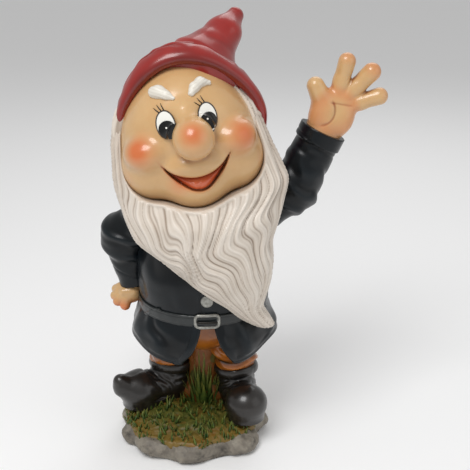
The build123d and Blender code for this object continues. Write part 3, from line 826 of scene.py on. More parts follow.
class FootwearSettings(bpy.types.PropertyGroup):
    """Boots and trousers."""

    boot_colour: FloatVectorProperty(name="Boots", description="Black-brown boot enamel", size=3,
                                     min=0, max=1, subtype="COLOR", default=linear("#17130f")[:3])
    trouser_colour: FloatVectorProperty(name="Trousers", description="Orange-brown enamel", size=3,
                                        min=0, max=1, subtype="COLOR", default=linear("#8a4a12")[:3])
    gloss: FloatProperty(name="Boot gloss", description="How shiny the boots are", default=0.4,
                         min=0, max=1, subtype="FACTOR")


class GNOME_OT_boots(bpy.types.Operator):
    """Both boots and both trouser legs"""

    bl_idname = "gnome.boots"
    bl_label = "Boots and trousers"

    def execute(self, context):
        settings = context.scene.gnome_footwear
        leather = brushed_resin("gloss boot enamel", settings.boot_colour, "#060504", "#2b241f", 0.36,
                                settings.gloss, 0.35)[0]
        cloth = brushed_resin("gloss trouser enamel", settings.trouser_colour, "#2c1402", "#b3671a",
                              0.28, 0.35, 0.5)[0]
        for side in ("left", "right"):
            cast_over(f"{side}_boot", f"{side}_leather_boot", lambda p: boot_field(p, side),
                      [4, 4, 2], 4, 0.8, leather, "boot_paint", boot_relief(side))
            cast_over(f"{side}_trouser_leg", f"{side}_trouser_cloth", lambda p: trouser_field(p, side),
                      4, 4, 0.9, cloth, "trouser_paint", trouser_relief(side))
        cast_over("trouser_seat", "trouser_seat_cloth", seat_field, 2, 1, 1.2, cloth, "trouser_paint",
                  seat_relief)
        return {"FINISHED"}


# ---- Coat ----
BELLY_HEIGHT = 142.0
BELLY_HALF = COAT_TOP + 11 - BELLY_HEIGHT
BELLY_RADIUS = (box_mm("coat_body")[1][0] - box_mm("coat_body")[0][0]) / 2
COAT_TURN = radians(5)
SHOULDERS = np.array([WAIST[0], WAIST[1], COAT_TOP])
RIGHT_SHOULDER = SHOULDERS + [-38, 0, -18]
RIGHT_ELBOW = SHOULDERS + [-63, 8, -39]
RIGHT_CUFF = SHOULDERS + [-55.5, 6, -77.5]
LEFT_SHOULDER = SHOULDERS + [40, 0, -16]
LEFT_ELBOW = SHOULDERS + [72, -2, 4]
LEFT_CUFF = SHOULDERS + [93, -2, 49]


def in_coat(p):
    """Angle round the coat from its front seam, radius from its axis, and height over the waist."""
    flat = p[:, :2] - WAIST[:2]
    turn = np.arctan2(flat[:, 0] * cos(COAT_TURN) + flat[:, 1] * sin(COAT_TURN),
                      flat[:, 0] * sin(COAT_TURN) - flat[:, 1] * cos(COAT_TURN))
    return turn, length(flat), p[:, 2] - WAIST[2]


def torso_field(p):
    """The barrel of the coat from the waist to the neck."""
    _, out, rise = in_coat(p)
    level = np.clip((p[:, 2] - BELLY_HEIGHT) / BELLY_HALF, -0.95, 0.95)
    wide = BELLY_RADIUS * np.sqrt(1 - level ** 2)
    lean = np.sqrt(1 + (level / np.sqrt(1 - level ** 2) * BELLY_RADIUS / BELLY_HALF) ** 2)
    side = (out - wide) / lean
    return np.maximum(cut(side, COAT_TOP - p[:, 2], 12), -2 - rise)


def torso_relief(p):
    """Cloth gathered into the belt, pulled round the belly, and lapped at the front."""
    turn, out, rise = in_coat(p)
    wave = noise(np.stack([np.sin(turn) * 3, np.cos(turn) * 3, p[:, 2] / 26], -1), 41)
    gather = np.sin(turn * 11 + 3.2 * wave) * bump(rise - 14, 12) * (0.5 + 0.5 * np.sin(turn * 5 + 2))
    sweep = np.sin(p[:, 2] * 0.13 + 2.2 * np.cos(turn) + 2.4 * wave) * ease(rise, 16, 40)
    lap = bump((turn + 0.09) * out, 0.9) * ease(rise, 4, 8)
    height = 0.8 * gather * ease(rise, 5, 12) + 0.8 * sweep - 0.8 * lap * (np.cos(turn) > 0)
    return height, np.clip(0.5 + 0.36 * height, 0, 1)


def sleeve_field(p, side):
    """A slack sleeve with a turned cuff."""
    if side == "left":
        shoulder, elbow, wrist, radii = LEFT_SHOULDER, LEFT_ELBOW, LEFT_CUFF, (20, 18.5, 16.5)
    else:
        shoulder, elbow, wrist, radii = RIGHT_SHOULDER, RIGHT_ELBOW, RIGHT_CUFF, (20, 18.5, 12.2)
    arm = chain(p, [shoulder, elbow, wrist], radii, 7)
    if side == "right":
        arm = blend(arm, rod(p, elbow, 0.35 * elbow + 0.65 * wrist, 18, 14.2), 6)
    along = unit(wrist - elbow)
    past = (p - wrist) @ along
    flat = p - wrist - past[:, None] * along
    edge = length(flat) - radii[-1]
    arm = np.maximum(arm, past - 1.0)
    cuff = np.maximum(np.abs(edge + 0.8) - 1.9, np.abs(past + 3.4) - 4.6) - 0.8
    arm = blend(arm, cuff, 1.0)
    bore = np.maximum(edge + 3.6, -past - 5)
    return cut(arm, bore, 1.5)


def sleeve_relief(side):
    """Folds that wrap the arm, tightest inside the elbow."""
    start, bend, end = ((LEFT_SHOULDER, LEFT_ELBOW, LEFT_CUFF) if side == "left"
                        else (RIGHT_SHOULDER, RIGHT_ELBOW, RIGHT_CUFF))

    def relief(p):
        along = unit(end - start)
        reach = length(end - start)
        far = (p - start) @ along
        flat = p - start - far[:, None] * along
        turn = np.arctan2(flat[:, 1], flat @ np.cross([0, 1, 0], along))
        wave = noise(p / 15, 44 + (side == "left"))
        rings = np.sin(far * 0.36 + 1.5 * np.sin(turn + 0.7) + 2.4 * wave)
        small = np.sin(far * 0.7 + 1.8 * np.sin(turn * 2) + 3 * wave)
        near = 0.35 + 0.65 * bump(length(p - bend) - 12, 16)
        body = ease(reach - far, 8, 15)
        height = (0.95 * rings + 0.3 * small) * near * body
        cuff_edge = bump(reach - far - 9, 0.9)
        height = height - 0.5 * cuff_edge
        return height, np.clip(0.5 + 0.34 * height, 0, 1)
    return relief


SKIRT_WALL = 5.5
VENT_TOP = -5.0
VENT_HALF_TOP = 5.5
VENT_HALF_HEM = 22.5
SKIRT_LOW = HEM - WAIST[2]


def skirt_edges(p):
    """How far each place lies above the hem, and how far to the side of the open front."""
    turn, out, rise = in_coat(p)
    share = np.clip((VENT_TOP - rise) / (VENT_TOP - SKIRT_LOW), 0, 1)
    half = VENT_HALF_TOP + (VENT_HALF_HEM - VENT_HALF_TOP) * share ** 1.6
    beside = np.where(np.abs(turn) < pi / 2, np.abs(np.sin(turn)) * out - half, 40)
    beside = np.where(rise > VENT_TOP, np.maximum(beside, rise - VENT_TOP), beside)
    hem = SKIRT_LOW + 1.5 + 9.5 * ease(np.abs(turn), 0.45, 1.3) - 4 * ease(np.abs(turn), 1.9, 2.8)
    return beside, rise - hem


def skirt_field(p):
    """The coat's flared skirt, hollow from below and open at the front."""
    turn, out, rise = in_coat(p)
    drop = np.clip(rise / SKIRT_LOW, 0, 1.1)
    wide = BELT_RADIUS - 1.5 + 9.5 * np.sin(np.clip(drop * 1.75, 0, pi / 2))
    wide = wide - 5.5 * ease(drop, 0.55, 1.1)
    flutter = 1.3 * np.sin(turn * 5 + 0.6) + 0.6 * np.sin(turn * 9 + 2)
    wide = wide + flutter * ease(drop, 0.15, 0.9)
    outer = (out - wide) * 0.93
    shell = np.maximum(outer, np.minimum(-outer - SKIRT_WALL, -rise - 5))
    shell = np.where(rise > -8, np.maximum(outer, -(out - BELT_RADIUS + 12)), shell)
    beside, above = skirt_edges(p)
    shell = cut(shell, beside, 2.5)
    shell = cut(shell, above, 2.5)
    return np.maximum(shell, rise - 1)


def skirt_relief(p):
    """Soft pleats, with a turned and stitched edge."""
    turn, _, rise = in_coat(p)
    beside, above = skirt_edges(p)
    edge = np.minimum(beside, above)
    wave = noise(np.stack([np.sin(turn) * 3, np.cos(turn) * 3, p[:, 2] / 20], -1), 51)
    pleat = np.sin(turn * 8 + 4 * wave + rise / 9) * ease(-rise, 6, 20)
    gather = np.sin(turn * 17 + 4 * wave) * bump(rise + 9, 6)
    lapel = ease(-beside, -6.2, -5.4) * ease(-turn, 0.0, 0.05)
    turned = 0.7 * lapel - 0.5 * bump(beside - 6.4, 0.6) * ease(-turn, 0, 0.05)
    hem = 0.45 * ease(-above, -3.4, -2.4)
    inside = ease(edge, 5, 8)
    height = 1.0 * pleat * inside + 0.5 * gather * inside + turned + hem
    return height, np.clip(0.5 + 0.34 * height, 0, 1)


BELT_HALF_WIDTH = (BELT_HIGH[2] - BELT_LOW[2]) / 2


def belt_field(p):
    """A flat strap with soft edges and three keeper loops."""
    turn, out, rise = in_coat(p)
    strap = np.stack([np.maximum(np.abs(out - BELT_RADIUS + 1.6) - 0.9, 0),
                      np.maximum(np.abs(rise) - BELT_HALF_WIDTH + 1.2, 0)], -1)
    belt = length(strap) - 1.2
    for where, slant in ((-0.95, 0.03), (1.15, -0.02), (2.7, 0)):
        across = (turn - where - slant * rise) * out
        loop = np.stack([np.maximum(np.abs(out - BELT_RADIUS + 0.6) - 0.8, 0),
                         np.maximum(np.abs(rise) - BELT_HALF_WIDTH, 0),
                         np.maximum(np.abs(across) - 1.7, 0)], -1)
        belt = blend(belt, length(loop) - 0.8, 0.5)
    return belt


def belt_relief(p):
    """A groove along both edges and a little wear."""
    rise = in_coat(p)[2]
    height = -0.35 * bump(np.abs(rise) - BELT_HALF_WIDTH + 1.7, 0.35) + 0.15 * noise(p / 4, 61)
    return height, np.clip(0.5 + 0.9 * height, 0, 1)


def buckle_field(p):
    """A rounded frame that follows the belt, with its middle open."""
    turn, out, rise = in_coat(p)
    low, high = box_mm("belt_buckle")
    half = np.array([(high - low)[0] / 2, (high - low)[2] / 2])
    face = np.stack([np.abs(turn * BELT_RADIUS), np.abs(rise)], -1)
    line = np.maximum(face - (half - 4.2), 0)
    frame_line = np.abs(length(line) + np.minimum((face - (half - 4.2)).max(-1), 0) - 2.9)
    return np.sqrt(frame_line ** 2 + (out - BELT_RADIUS - 0.2) ** 2) - 1.35


def button_field(p):
    """A domed button with a rolled rim."""
    low, high = box_mm("coat_button")
    centre = np.array([(low + high)[0] / 2, 0, (low + high)[2] / 2])
    centre[1] = low[1] + 2.6
    radius = (high - low)[2] / 2
    q = p - centre
    spread = length(q[:, [0, 2]])
    disc = oval(q, (0, 1.0, 0), (radius, 3.2, radius))
    rim = np.sqrt((spread - radius + 1.0) ** 2 + (q[:, 1] + 0.3) ** 2) - 1.0
    dip = ball(q, (0, -9.3, 0), 8.0)
    return cut(blend(disc, rim, 0.5), dip, 0.5)


class CoatSettings(bpy.types.PropertyGroup):
    """Coat, belt and buckle."""

    colour: FloatVectorProperty(name="Coat", description="Blue-black coat enamel", size=3, min=0,
                                max=1, subtype="COLOR", default=linear("#070c10")[:3])
    roughness: FloatProperty(name="Roughness", description="Roughness of the coat's enamel",
                             default=0.3, min=0, max=1, subtype="FACTOR")


def silver_paint():
    """Silver craft paint: dull metal flake, with painted shade darkening its hollows."""
    paint, _, shader, _ = brushed_resin("silver flake paint", "#84837d", "#2b2926", "#c4c3bc", 0.38,
                                        mottle=0.5, patch_mm=2)
    shader.inputs["Metallic"].default_value = 0.75
    return paint


class GNOME_OT_coat(bpy.types.Operator):
    """Coat body, skirt, sleeves, belt, buckle and button"""

    bl_idname = "gnome.coat"
    bl_label = "Coat and belt"

    def execute(self, context):
        settings = context.scene.gnome_coat
        cloth, _, shader, _ = brushed_resin("gloss coat enamel", settings.colour, "#010203", "#151d22",
                                            settings.roughness, 0.1, 0.35)
        shader.inputs["Specular IOR Level"].default_value = 0.25
        cast_over("coat_body", "coat_cloth", torso_field, 3, 3, 1.0, cloth, "coat_paint", torso_relief)
        cast_over("coat_skirt", "coat_skirt_cloth", skirt_field, 4, 3, 0.85, cloth, "coat_paint",
                  skirt_relief)
        for side in ("left", "right"):
            cast_over(f"{side}_sleeve", f"{side}_sleeve_cloth", lambda p: sleeve_field(p, side),
                      5, 5, 0.85, cloth, "coat_paint", sleeve_relief(side))
        strap = brushed_resin("satin belt enamel", "#0e1213", "#040505", "#2b3232", 0.34, 0.2, 0.35)[0]
        cast_over("belt", "leather_belt", belt_field, 3, 3, 0.55, strap, "belt_paint", belt_relief)
        silver = silver_paint()
        cast_over("belt_buckle", "buckle_frame", buckle_field, 2, 2, 0.3, silver, "silver_paint")
        low, high = box_mm("buckle_prong")
        middle = (low + high) / 2
        bar = np.linspace(0, 1, 7)
        path = np.stack([low[0] + (high[0] - low[0]) * bar,
                         low[1] + 0.7 - 0.6 * np.sin(bar * pi), np.full(7, middle[2])], -1)
        prong = tube("prong_pin", path, 0.95, 12)
        fit(prong, silver, "silver_paint", "buckle_prong")
        cast_over("coat_button", "domed_button", button_field, 1.5, 1, 0.3, silver, "silver_paint")
        return {"FINISHED"}


# ---- Hands ----
LEFT_ARM = unit(LEFT_CUFF - LEFT_ELBOW)
LEFT_ASIDE = np.array([LEFT_ARM[2], 0, -LEFT_ARM[0]])
LEFT_PALM = LEFT_CUFF + 17 * LEFT_ARM
# Degrees from the arm, reach from the palm and radius
FINGERS = ((-11, 40, 6.4), (17, 42, 6.7), (44, 37, 6.4))
THUMB = (-58, 25, 6.8)


def on_palm(angle, reach):
    """A place in the palm's plane, at an angle from the arm and a reach from the palm's middle."""
    turn = radians(angle)
    return LEFT_PALM + reach * (LEFT_ARM * cos(turn) + LEFT_ASIDE * sin(turn))


def left_hand_field(p):
    """A raised open hand with three fat fingers and a thumb."""
    from_palm = p - LEFT_PALM
    q = np.stack([from_palm @ LEFT_ASIDE, from_palm[:, 1], from_palm @ LEFT_ARM], -1)
    hand = oval(q, (0.5, 0, 0), (17.2, 10.6, 17.5))
    wrist = rod(p, LEFT_CUFF - 8 * LEFT_ARM, LEFT_CUFF + 8 * LEFT_ARM, 13.2, 12.6)
    hand = blend(hand, wrist, 8)
    fingers = None
    for angle, reach, radius in FINGERS:
        base = on_palm(angle * 0.75, 11)
        middle = on_palm(angle, reach * 0.62) + [0, -0.5, 0]
        tip = on_palm(angle * 1.02, reach) + [0, -2.5, 0]
        finger = chain(p, [base, middle, tip], [7.4, radius - 0.3, radius + 0.3], 3)
        fingers = finger if fingers is None else blend(fingers, finger, 1.6)
    hand = blend(hand, fingers, 4)
    base = on_palm(-75, 8) + [0, -3, 0]
    tip = on_palm(THUMB[0], THUMB[1]) + [0, -4, 0]
    hand = blend(hand, rod(p, base, tip, 8.6, THUMB[2]), 4.5)
    thenar = oval(q, (-7.5, -5.5, -4), (8.5, 7, 12))
    heel = oval(q, (8.5, -5, -3), (8, 6, 12))
    hand = blend(blend(hand, thenar, 4), heel, 4)
    lip = rod(p, LEFT_CUFF - 2.5 * LEFT_ARM, LEFT_CUFF + 0.3 * LEFT_ARM, 14.4, 14.2)
    return blend(hand, lip, 1.0)


def left_hand_relief(p):
    """Palm lines and a faint unevenness."""
    side, along = (p - LEFT_PALM) @ LEFT_ASIDE, (p - LEFT_PALM) @ LEFT_ARM
    front = ease(LEFT_PALM[1] - p[:, 1], 1, 5)
    life = bump(np.sqrt((side + 11) ** 2 + (along + 1) ** 2) - 11.5, 0.9) * ease(side, -8, -2)
    heart = bump(along - 9 - 0.25 * side, 0.8) * ease(-np.abs(side - 2), -11, -6)
    height = -0.65 * life * front - 0.4 * heart * front + 0.15 * noise(p / 6, 71)
    return height, np.clip(0.5 + 0.6 * height, 0, 1)


def left_hand_paint(p):
    """Where the airbrush warmed the skin: fingertips, between the fingers, and by the thumb."""
    far = length(p - LEFT_PALM)
    tips = ease(far, 34, 50) * 0.55
    valley = bump(far - 18, 4.5) * 0.5
    thenar = bump(length(p - on_palm(-110, 9) - [0, -9, 0]), 6) * 0.4
    return {"blush": np.clip(np.maximum(np.maximum(tips, valley), thenar), 0, 1)}


# Fingertips, over the middle of the cuff
RIGHT_TIPS = ((-17, 1, -9), (-17.5, -4.5, -12.5), (-15, -9, -15.5), (-9, -10.5, -18.5))


def right_hand_field(p):
    """A hand that hangs from its cuff, its fingers curled under."""
    palm = RIGHT_CUFF + [-4, -2, -9]
    wrist = rod(p, RIGHT_CUFF + [0, 0, 6], palm, 8.6, 8.8)
    hand = blend(wrist, oval(p, palm + [-2, -1, -1], (10, 9.5, 8.5)), 4)
    for reach in RIGHT_TIPS:
        tip = RIGHT_CUFF + np.array(reach)
        knuckle = palm * 0.4 + tip * 0.6 + [-1, -1, 1.5]
        hand = blend(hand, chain(p, [palm, knuckle, tip], [5.5, 4.9, 4.2], 2), 1.3)
    return blend(hand, rod(p, palm + [2, -6, 2], RIGHT_CUFF + [-10, -9.5, -7], 4.4, 3.6), 1.5)


def right_hand_relief(p):
    """A faint unevenness."""
    return 0.12 * noise(p / 5, 72), np.full(len(p), 0.5)


def right_hand_paint(p):
    """Warm fingertips."""
    return {"blush": np.clip(ease(RIGHT_CUFF[2] - p[:, 2], 8, 20) * 0.9, 0, 1)}


def skin_paint():
    """Satin flesh enamel: ochre skin, airbrushed orange-red on cheeks, nose and fingers."""
    paint, tree, shader, colour = brushed_resin(
        "satin flesh enamel", "#cba26f", "#8a4c22", "#d9b684", 0.3, 0.4, 0.35, 18,
        ((0.3, 0.0), (0.95, 0.85)), 0.08, 2.5)
    warm = ramp(tree, attribute(tree, "blush"), (0.08, 0.0), (1.0, 0.85))
    tree.links.new(mix(tree, warm, colour, linear("#cc5f26")), shader.inputs["Base Color"])
    shader.inputs["Subsurface Weight"].default_value = 0.04
    shader.inputs["Subsurface Radius"].default_value = (0.004, 0.0015, 0.0008)
    return paint


class SkinSettings(bpy.types.PropertyGroup):
    """Eyes and lashes."""

    gloss: FloatProperty(name="Eye gloss", description="How wet the eyes look", default=0.9, min=0,
                         max=1, subtype="FACTOR")
    lashes: IntProperty(name="Lashes", description="Painted lashes over each eye", default=3, min=0,
                        max=8)


# ---- Head ----
NOSE = np.array([3, -5.5, 58.0])
JOWL_V = {-1: -24.5, 1: -27.5}
JOWL_RADII = (25, 24, 25)
CHIN_RADII = (21, 17, 19)
NOSE_RADIUS = 14.4
NECK_RADIUS = 19.0
UPPER_LIP = ((1.5, -3.7), 29.8)
LOWER_LIP = ((22.3, -1.7), (-19.1, -2.0))
LOWER_LIP_RADIUS = 49.0
MOUTH_DEPTH = 6.0
MOUTH_TOP = 10.0
FACE_FRONT = 25.0     # nothing is cut into the face or set on it behind this depth


def narrowed(q):
    """Places spread sideways above the eyes, which draws in the top of what is built on them."""
    share = 1 - 0.2 * ease(q[:, 1], -8, 55)
    return np.stack([q[:, 0] / share, q[:, 1], q[:, 2]], -1)


def face_bulk(q):
    """The head in its own frame, before the mouth is opened."""
    face = (length(narrowed(q)) - HEAD_RADIUS) * 0.92
    for side in (-1, 1):
        face = blend(face, oval(q, (27 * side, JOWL_V[side], 13), JOWL_RADII), 12)
    face = blend(face, oval(q, (0, -41, 24), CHIN_RADII), 12)
    face = blend(face, oval(q, (0.5, -23.5, 34), (23, 10.5, 18)), 5)
    for side in (-1, 1):
        face = blend(face, oval(q, (29.5 * side, -11.5, 28), (19, 15.5, 21)), 4)
    bridge = rod(q, (1, 12, 45), (2.5, -1, 53), 7, 11)
    face = blend(face, bridge, 8)
    return blend(face, ball(q, NOSE, NOSE_RADIUS), 5)


def mouth_outline(q):
    """Field across the face of the smiling mouth, widest a little to its left."""
    below = length(q[:, :2] - LOWER_LIP[0]) - LOWER_LIP_RADIUS
    other = length(q[:, :2] - LOWER_LIP[1]) - LOWER_LIP_RADIUS
    above = length(q[:, :2] - UPPER_LIP[0]) - UPPER_LIP[1]
    return np.maximum.reduce([meet(below, other, 7), -above, q[:, 1] + MOUTH_TOP])


def head_field(p):
    """The whole head, its smile cut in."""
    q = to_face(p)
    face = face_bulk(q)
    mouth = np.maximum(mouth_outline(q), -(face + MOUTH_DEPTH))
    face = cut(face, np.maximum(mouth, FACE_FRONT - q[:, 2]), 1.4)
    neck = rod(p, [*WAIST[:2], COAT_TOP - 8], [WAIST[0], WAIST[1] - 8, HEAD[2] - 25],
               NECK_RADIUS, NECK_RADIUS)
    return blend(face, neck, 3)


def face_relief(p):
    """A rolled upper lip over a faint hand-cast unevenness."""
    q = to_face(p)
    front = ease(q[:, 2], 18, 30)
    lip = bump(length(q[:, :2] - UPPER_LIP[0]) - UPPER_LIP[1] + 1.8, 1.6)
    lip *= ease(-np.abs(q[:, 0] - 1), -25, -18)
    height = 0.5 * lip * ease(-q[:, 1], 18, 24) * front
    return height + 0.18 * noise(p / 9, 81), np.clip(0.5 + 0.5 * height, 0, 1)


def face_paint(p):
    """Airbrushed blush on the nose, cheeks and round the smile."""
    q = to_face(p)
    front = ease(q[:, 2], 10, 30)
    nose = bump(length(q - NOSE - [0, 5, 13]), 9.5)
    tip = 0.25 * bump(length(q - NOSE - [0, -3, 8]), 14)
    cheek = np.zeros(len(q))
    for spot, strength, reach in (((-36, -8, 44), 1.0, 9), ((37, -10, 42), 0.9, 10)):
        away = length(q - spot)
        cheek += strength * bump(away, reach) + 0.25 * bump(away, reach + 7)
    lip = 0.55 * bump(length(q[:, :2] - [-13, -37]), 8) + 0.3 * bump(mouth_outline(q), 1.6)
    side = 0.35 * ease(50 - np.abs(q[:, 0]), 8, 0) * ease(-q[:, 1], 5, 40)
    return {"blush": np.clip(np.maximum.reduce([nose, tip, cheek, lip + side]) * front, 0, 1)}


def on_face(places, lift):
    """Places over (u, v) at a lift from the face's surface, in the frame's axes."""
    q = np.array([[u, v, 90.0] for u, v in places])
    for _ in range(60):
        q[:, 2] -= (face_bulk(q) - lift) * 0.85
    return from_face(q)


# Each eye's u, v, half width and half height, and each pupil's u, v and radius
EYES = {"right": (-13.9, 7.0, 7.2, 10.2), "left": (15.4, 7.0, 7.1, 10.4)}
PUPILS = {"right": (-13.3, 3.6, 6.4), "left": (15.6, 4.8, 5.9)}
HIGHLIGHT_OFFSET = (-0.6, 1.6)
LASH_START = {"right": 118, "left": 124}     # degrees round the eye
LASH_STEP = 16
PUPIL_THICKNESS = 0.55


def eye_outline(q, side):
    """Field across the face of one oval eye."""
    u, v, wide, tall = EYES[side]
    flat = (q[:, :2] - [u, v]) / [wide, tall]
    size = length(flat)
    return size * (size - 1) / np.maximum(length(flat / [wide, tall]), 1e-6)


def eye_swell(edge):
    """How far an eye stands out of the face at a distance from its outline."""
    return 1.1 + 1.0 * np.clip(-edge / 6, 0, 1) ** 0.6


def eye_field(p, side):
    """An oval eye that bulges a little from the face."""
    q = to_face(p)
    edge = eye_outline(q, side)
    face = face_bulk(q)
    lens = meet(face - eye_swell(edge), edge, 1.0)
    return np.maximum(lens, np.maximum(-face - 3, FACE_FRONT - q[:, 2]))


def pupil_field(p, side):
    """A glossy round pupil laid on the eye."""
    q = to_face(p)
    u, v, radius = PUPILS[side]
    eye = eye_outline(q, side)
    edge = np.maximum(length(q[:, :2] - [u, v]) - radius, eye + 0.5)
    face = face_bulk(q)
    lens = meet(face - eye_swell(eye) - PUPIL_THICKNESS, edge, 0.8)
    return np.maximum(lens, np.maximum(-face - 2, FACE_FRONT - q[:, 2]))


def eyebrow_points(side):
    """Where a raised eyebrow runs, from beside the nose outwards."""
    if side == "right":
        return [(-5.5, 23.6), (-10, 26.6), (-14.5, 29.4), (-17.8, 29.8)], [1.3, 2.9, 4.2, 4.1]
    return [(7.4, 24.6), (10.5, 28.2), (15, 30.8), (20.6, 29.2)], [2.3, 3.2, 3.2, 2.0]


def eyebrow_field(p, side):
    """A bushy eyebrow modelled on the face."""
    places, radii = eyebrow_points(side)
    return chain(p, on_face(places, 0.6), radii, 3)


def eyebrow_relief(side):
    """Hair strokes that fan along the brow."""
    sign = 1 if side == "left" else -1

    def relief(p):
        q = to_face(p)
        across = (q[:, 1] - 28) - 0.5 * sign * (q[:, 0] - 14 * sign)
        comb = np.sin(across * 2.6 + 1.3 * noise(q / 4, 82))
        return 0.06 * comb, np.clip(0.5 + 0.12 * comb, 0, 1)
    return relief


def tongue_field(p):
    """The tongue, resting on the lower lip."""
    q = to_face(p)
    face = face_bulk(q)
    edge = mouth_outline(q + [0, -0.2, 0]) + 0.9
    swell = -3.4 + 2.2 * np.clip(-edge / 5, 0, 1)
    groove = 0.5 * bump(q[:, 0] - 0.5, 1.2)
    return np.maximum(meet(face - swell + groove, edge, 1.5), -face - MOUTH_DEPTH - 2)


def eye_paint(gloss):
    """Glossy white eye with its painted dark rim."""
    paint, tree, shader, _ = new_paint("gloss eye white enamel", 0.14, gloss)
    rim = ramp(tree, attribute(tree, "rim"), (0.45, 0.0), (0.6, 1.0))
    tree.links.new(mix(tree, rim, linear("#eceae2"), linear("#2a1c12")), shader.inputs["Base Color"])
    return paint


def pupil_paint():
    """Glossy black pupil with a painted white highlight."""
    paint, tree, shader, _ = new_paint("gloss pupil black enamel", 0.1)
    pupil_highlight = ramp(tree, attribute(tree, "pupil_highlight"), (0.45, 0.0), (0.6, 1.0))
    tree.links.new(mix(tree, pupil_highlight, linear("#040303"), linear("#f4f2ea")), shader.inputs["Base Color"])
    return paint


class GNOME_OT_head(bpy.types.Operator):
    """Head, eyes, lashes, eyebrows and tongue"""

    bl_idname = "gnome.head"
    bl_label = "Head and face"

    def execute(self, context):
        settings = context.scene.gnome_skin
        skin = skin_paint()
        cast_over("head", "face_and_head", head_field, 4, 4, 0.95, skin, "skin_paint", face_relief,
                  face_paint)
        cast_over("left_hand", "left_waving_hand", left_hand_field, 5, 3, 0.7, skin, "skin_paint",
                  left_hand_relief, left_hand_paint)
        cast_over("right_hand", "right_curled_hand", right_hand_field, 5, 5, 0.55, skin, "skin_paint",
                  right_hand_relief, right_hand_paint)
        white = eye_paint(settings.gloss)
        black = pupil_paint()
        hairs = brushed_resin("satin brow enamel", "#ded8cc", "#8b7a66", "#f4f1ea", 0.4)[0]
        lash_paint, _, shader, _ = new_paint("black lash enamel", 0.3)
        shader.inputs["Base Color"].default_value = linear("#120c08")
        lashes = []
        for side in ("left", "right"):
            u, v, wide, tall = EYES[side]
            cast_over(f"{side}_eye", f"{side}_eye_white", lambda p: eye_field(p, side),
                      [2, 5, 2], [2, 8, 2], 0.4, white, "eye_white_paint",
                      paint=lambda p: {"rim": ease(eye_outline(to_face(p), side), -1.35, -0.75)})
            # Painted highlight: a small white dot placed on each pupil.
            pupil_highlight = np.array(PUPILS[side][:2]) + HIGHLIGHT_OFFSET
            cast_over(f"{side}_pupil", f"{side}_pupil_dot", lambda p: pupil_field(p, side),
                      [3, 5, 3], [3, 7, 3], 0.3, black, "eye_black_paint",
                      paint=lambda p: {"pupil_highlight": 1 - ease(length(to_face(p)[:, :2] - pupil_highlight), 0.45, 0.85)})
            cast_over(f"{side}_eyebrow", f"{side}_eyebrow_hair", lambda p: eyebrow_field(p, side),
                      6, 6, 0.5, hairs, "beard_paint", eyebrow_relief(side))
            for i in range(settings.lashes):
                turn = radians(LASH_START[side] - LASH_STEP * i)
                foot = (u + wide * cos(turn), v + tall * sin(turn))
                end = (u + (wide + 3.6) * cos(turn + 0.16), v + (tall + 4.8) * sin(turn + 0.1))
                middle = ((foot[0] + end[0]) / 2 - 0.3, (foot[1] + end[1]) / 2 + 0.3)
                path = on_face([foot, middle, end], 0.25)
                lashes.append(tube(f"lash_{side}_{i}", path, [0.42, 0.36, 0.12], 6))
        lash = join("painted_lashes", lashes)
        fit(lash, lash_paint, "eye_black_paint")
        red = brushed_resin("gloss tongue enamel", "#c9562f", "#7c2610", "#dd7a50", 0.25, 0.5)[0]
        cast_over("tongue", "tongue_in_smile", tongue_field, [14, 3, 4], [14, 6, 12], 0.45, red,
                  "tongue_paint")
        return {"FINISHED"}


# ---- Beard and hair ----
# Drop below the head's middle, then aside, ahead, half width and half depth
BEARD_LEVELS = np.array([
    (-10, 1, -3, 53, 16), (12, 4, -8, 59.5, 24), (36, 10.5, -13, 65, 31), (64, 11.5, -21, 57, 38),
    (81, 12.5, -23, 50.5, 35), (97, 23.5, -24, 41, 30), (113, 31, -23.5, 32, 25),
    (126, 37, -23, 23, 18), (136, 42.5, -22, 14.5, 13), (146, 50, -20, 13.5, 9),
    (158, 62, -16, 7, 5)], float)


def eased_levels():
    """The beard's levels with the corners between them rounded off."""
    drops = np.linspace(BEARD_LEVELS[0, 0] - 30, BEARD_LEVELS[-1, 0] + 30, 457)
    weights = np.exp(-np.linspace(-2.6, 2.6, 41) ** 2)
    weights /= weights.sum()
    curves = []
    for values in BEARD_LEVELS[:, 1:].T:
        rows = np.pad(np.interp(drops, BEARD_LEVELS[:, 0], values), 20, mode="edge")
        curves.append(np.convolve(rows, weights, mode="valid"))
    return drops, curves


BEARD_DROPS, BEARD_CURVES = eased_levels()


def beard_section(p):
    """The beard's centre and half sizes at each place's height, and how far down it lies."""
    drop = HEAD[2] - p[:, 2]
    return drop, [np.interp(drop, BEARD_DROPS, BEARD_CURVES[i]) for i in range(4)]


def in_beard(p):
    """Angle round the beard from its front, share of the way out, and drop below the head."""
    drop, (aside, ahead, wide, deep) = beard_section(p)
    x = (p[:, 0] - HEAD[0] - aside) / wide
    y = -(p[:, 1] - HEAD[1] - ahead) / deep
    return np.arctan2(x, y), np.sqrt(x * x + y * y), drop, wide, deep


def face_window(q):
    """Field across the face of what stays clear of beard and hair."""
    flat = q * [1, 1, 0]
    window = length(narrowed(flat)) - HEAD_RADIUS
    for side in (-1, 1):
        window = blend(window, oval(flat, (27 * side, JOWL_V[side], 0), JOWL_RADII), 12)
    return blend(window, oval(flat, (0, -41, 0), CHIN_RADII), 12) + 0.9


def beard_field(p):
    """The sweep of the beard down to its flicked point, with the face's window cut in it."""
    _, share, drop, wide, deep = in_beard(p)
    hang = (share - 1) * np.minimum(wide, deep) * 0.92
    ends = np.maximum(-14 - drop, drop - BEARD_LEVELS[-1, 0])
    beard = meet(hang, ends, 6)
    q = to_face(p)
    window = np.maximum(face_window(q), -q[:, 2] - 2)
    return cut(beard, window, 2.0)


HAIR_LOCKS = 13.0     # in a full turn


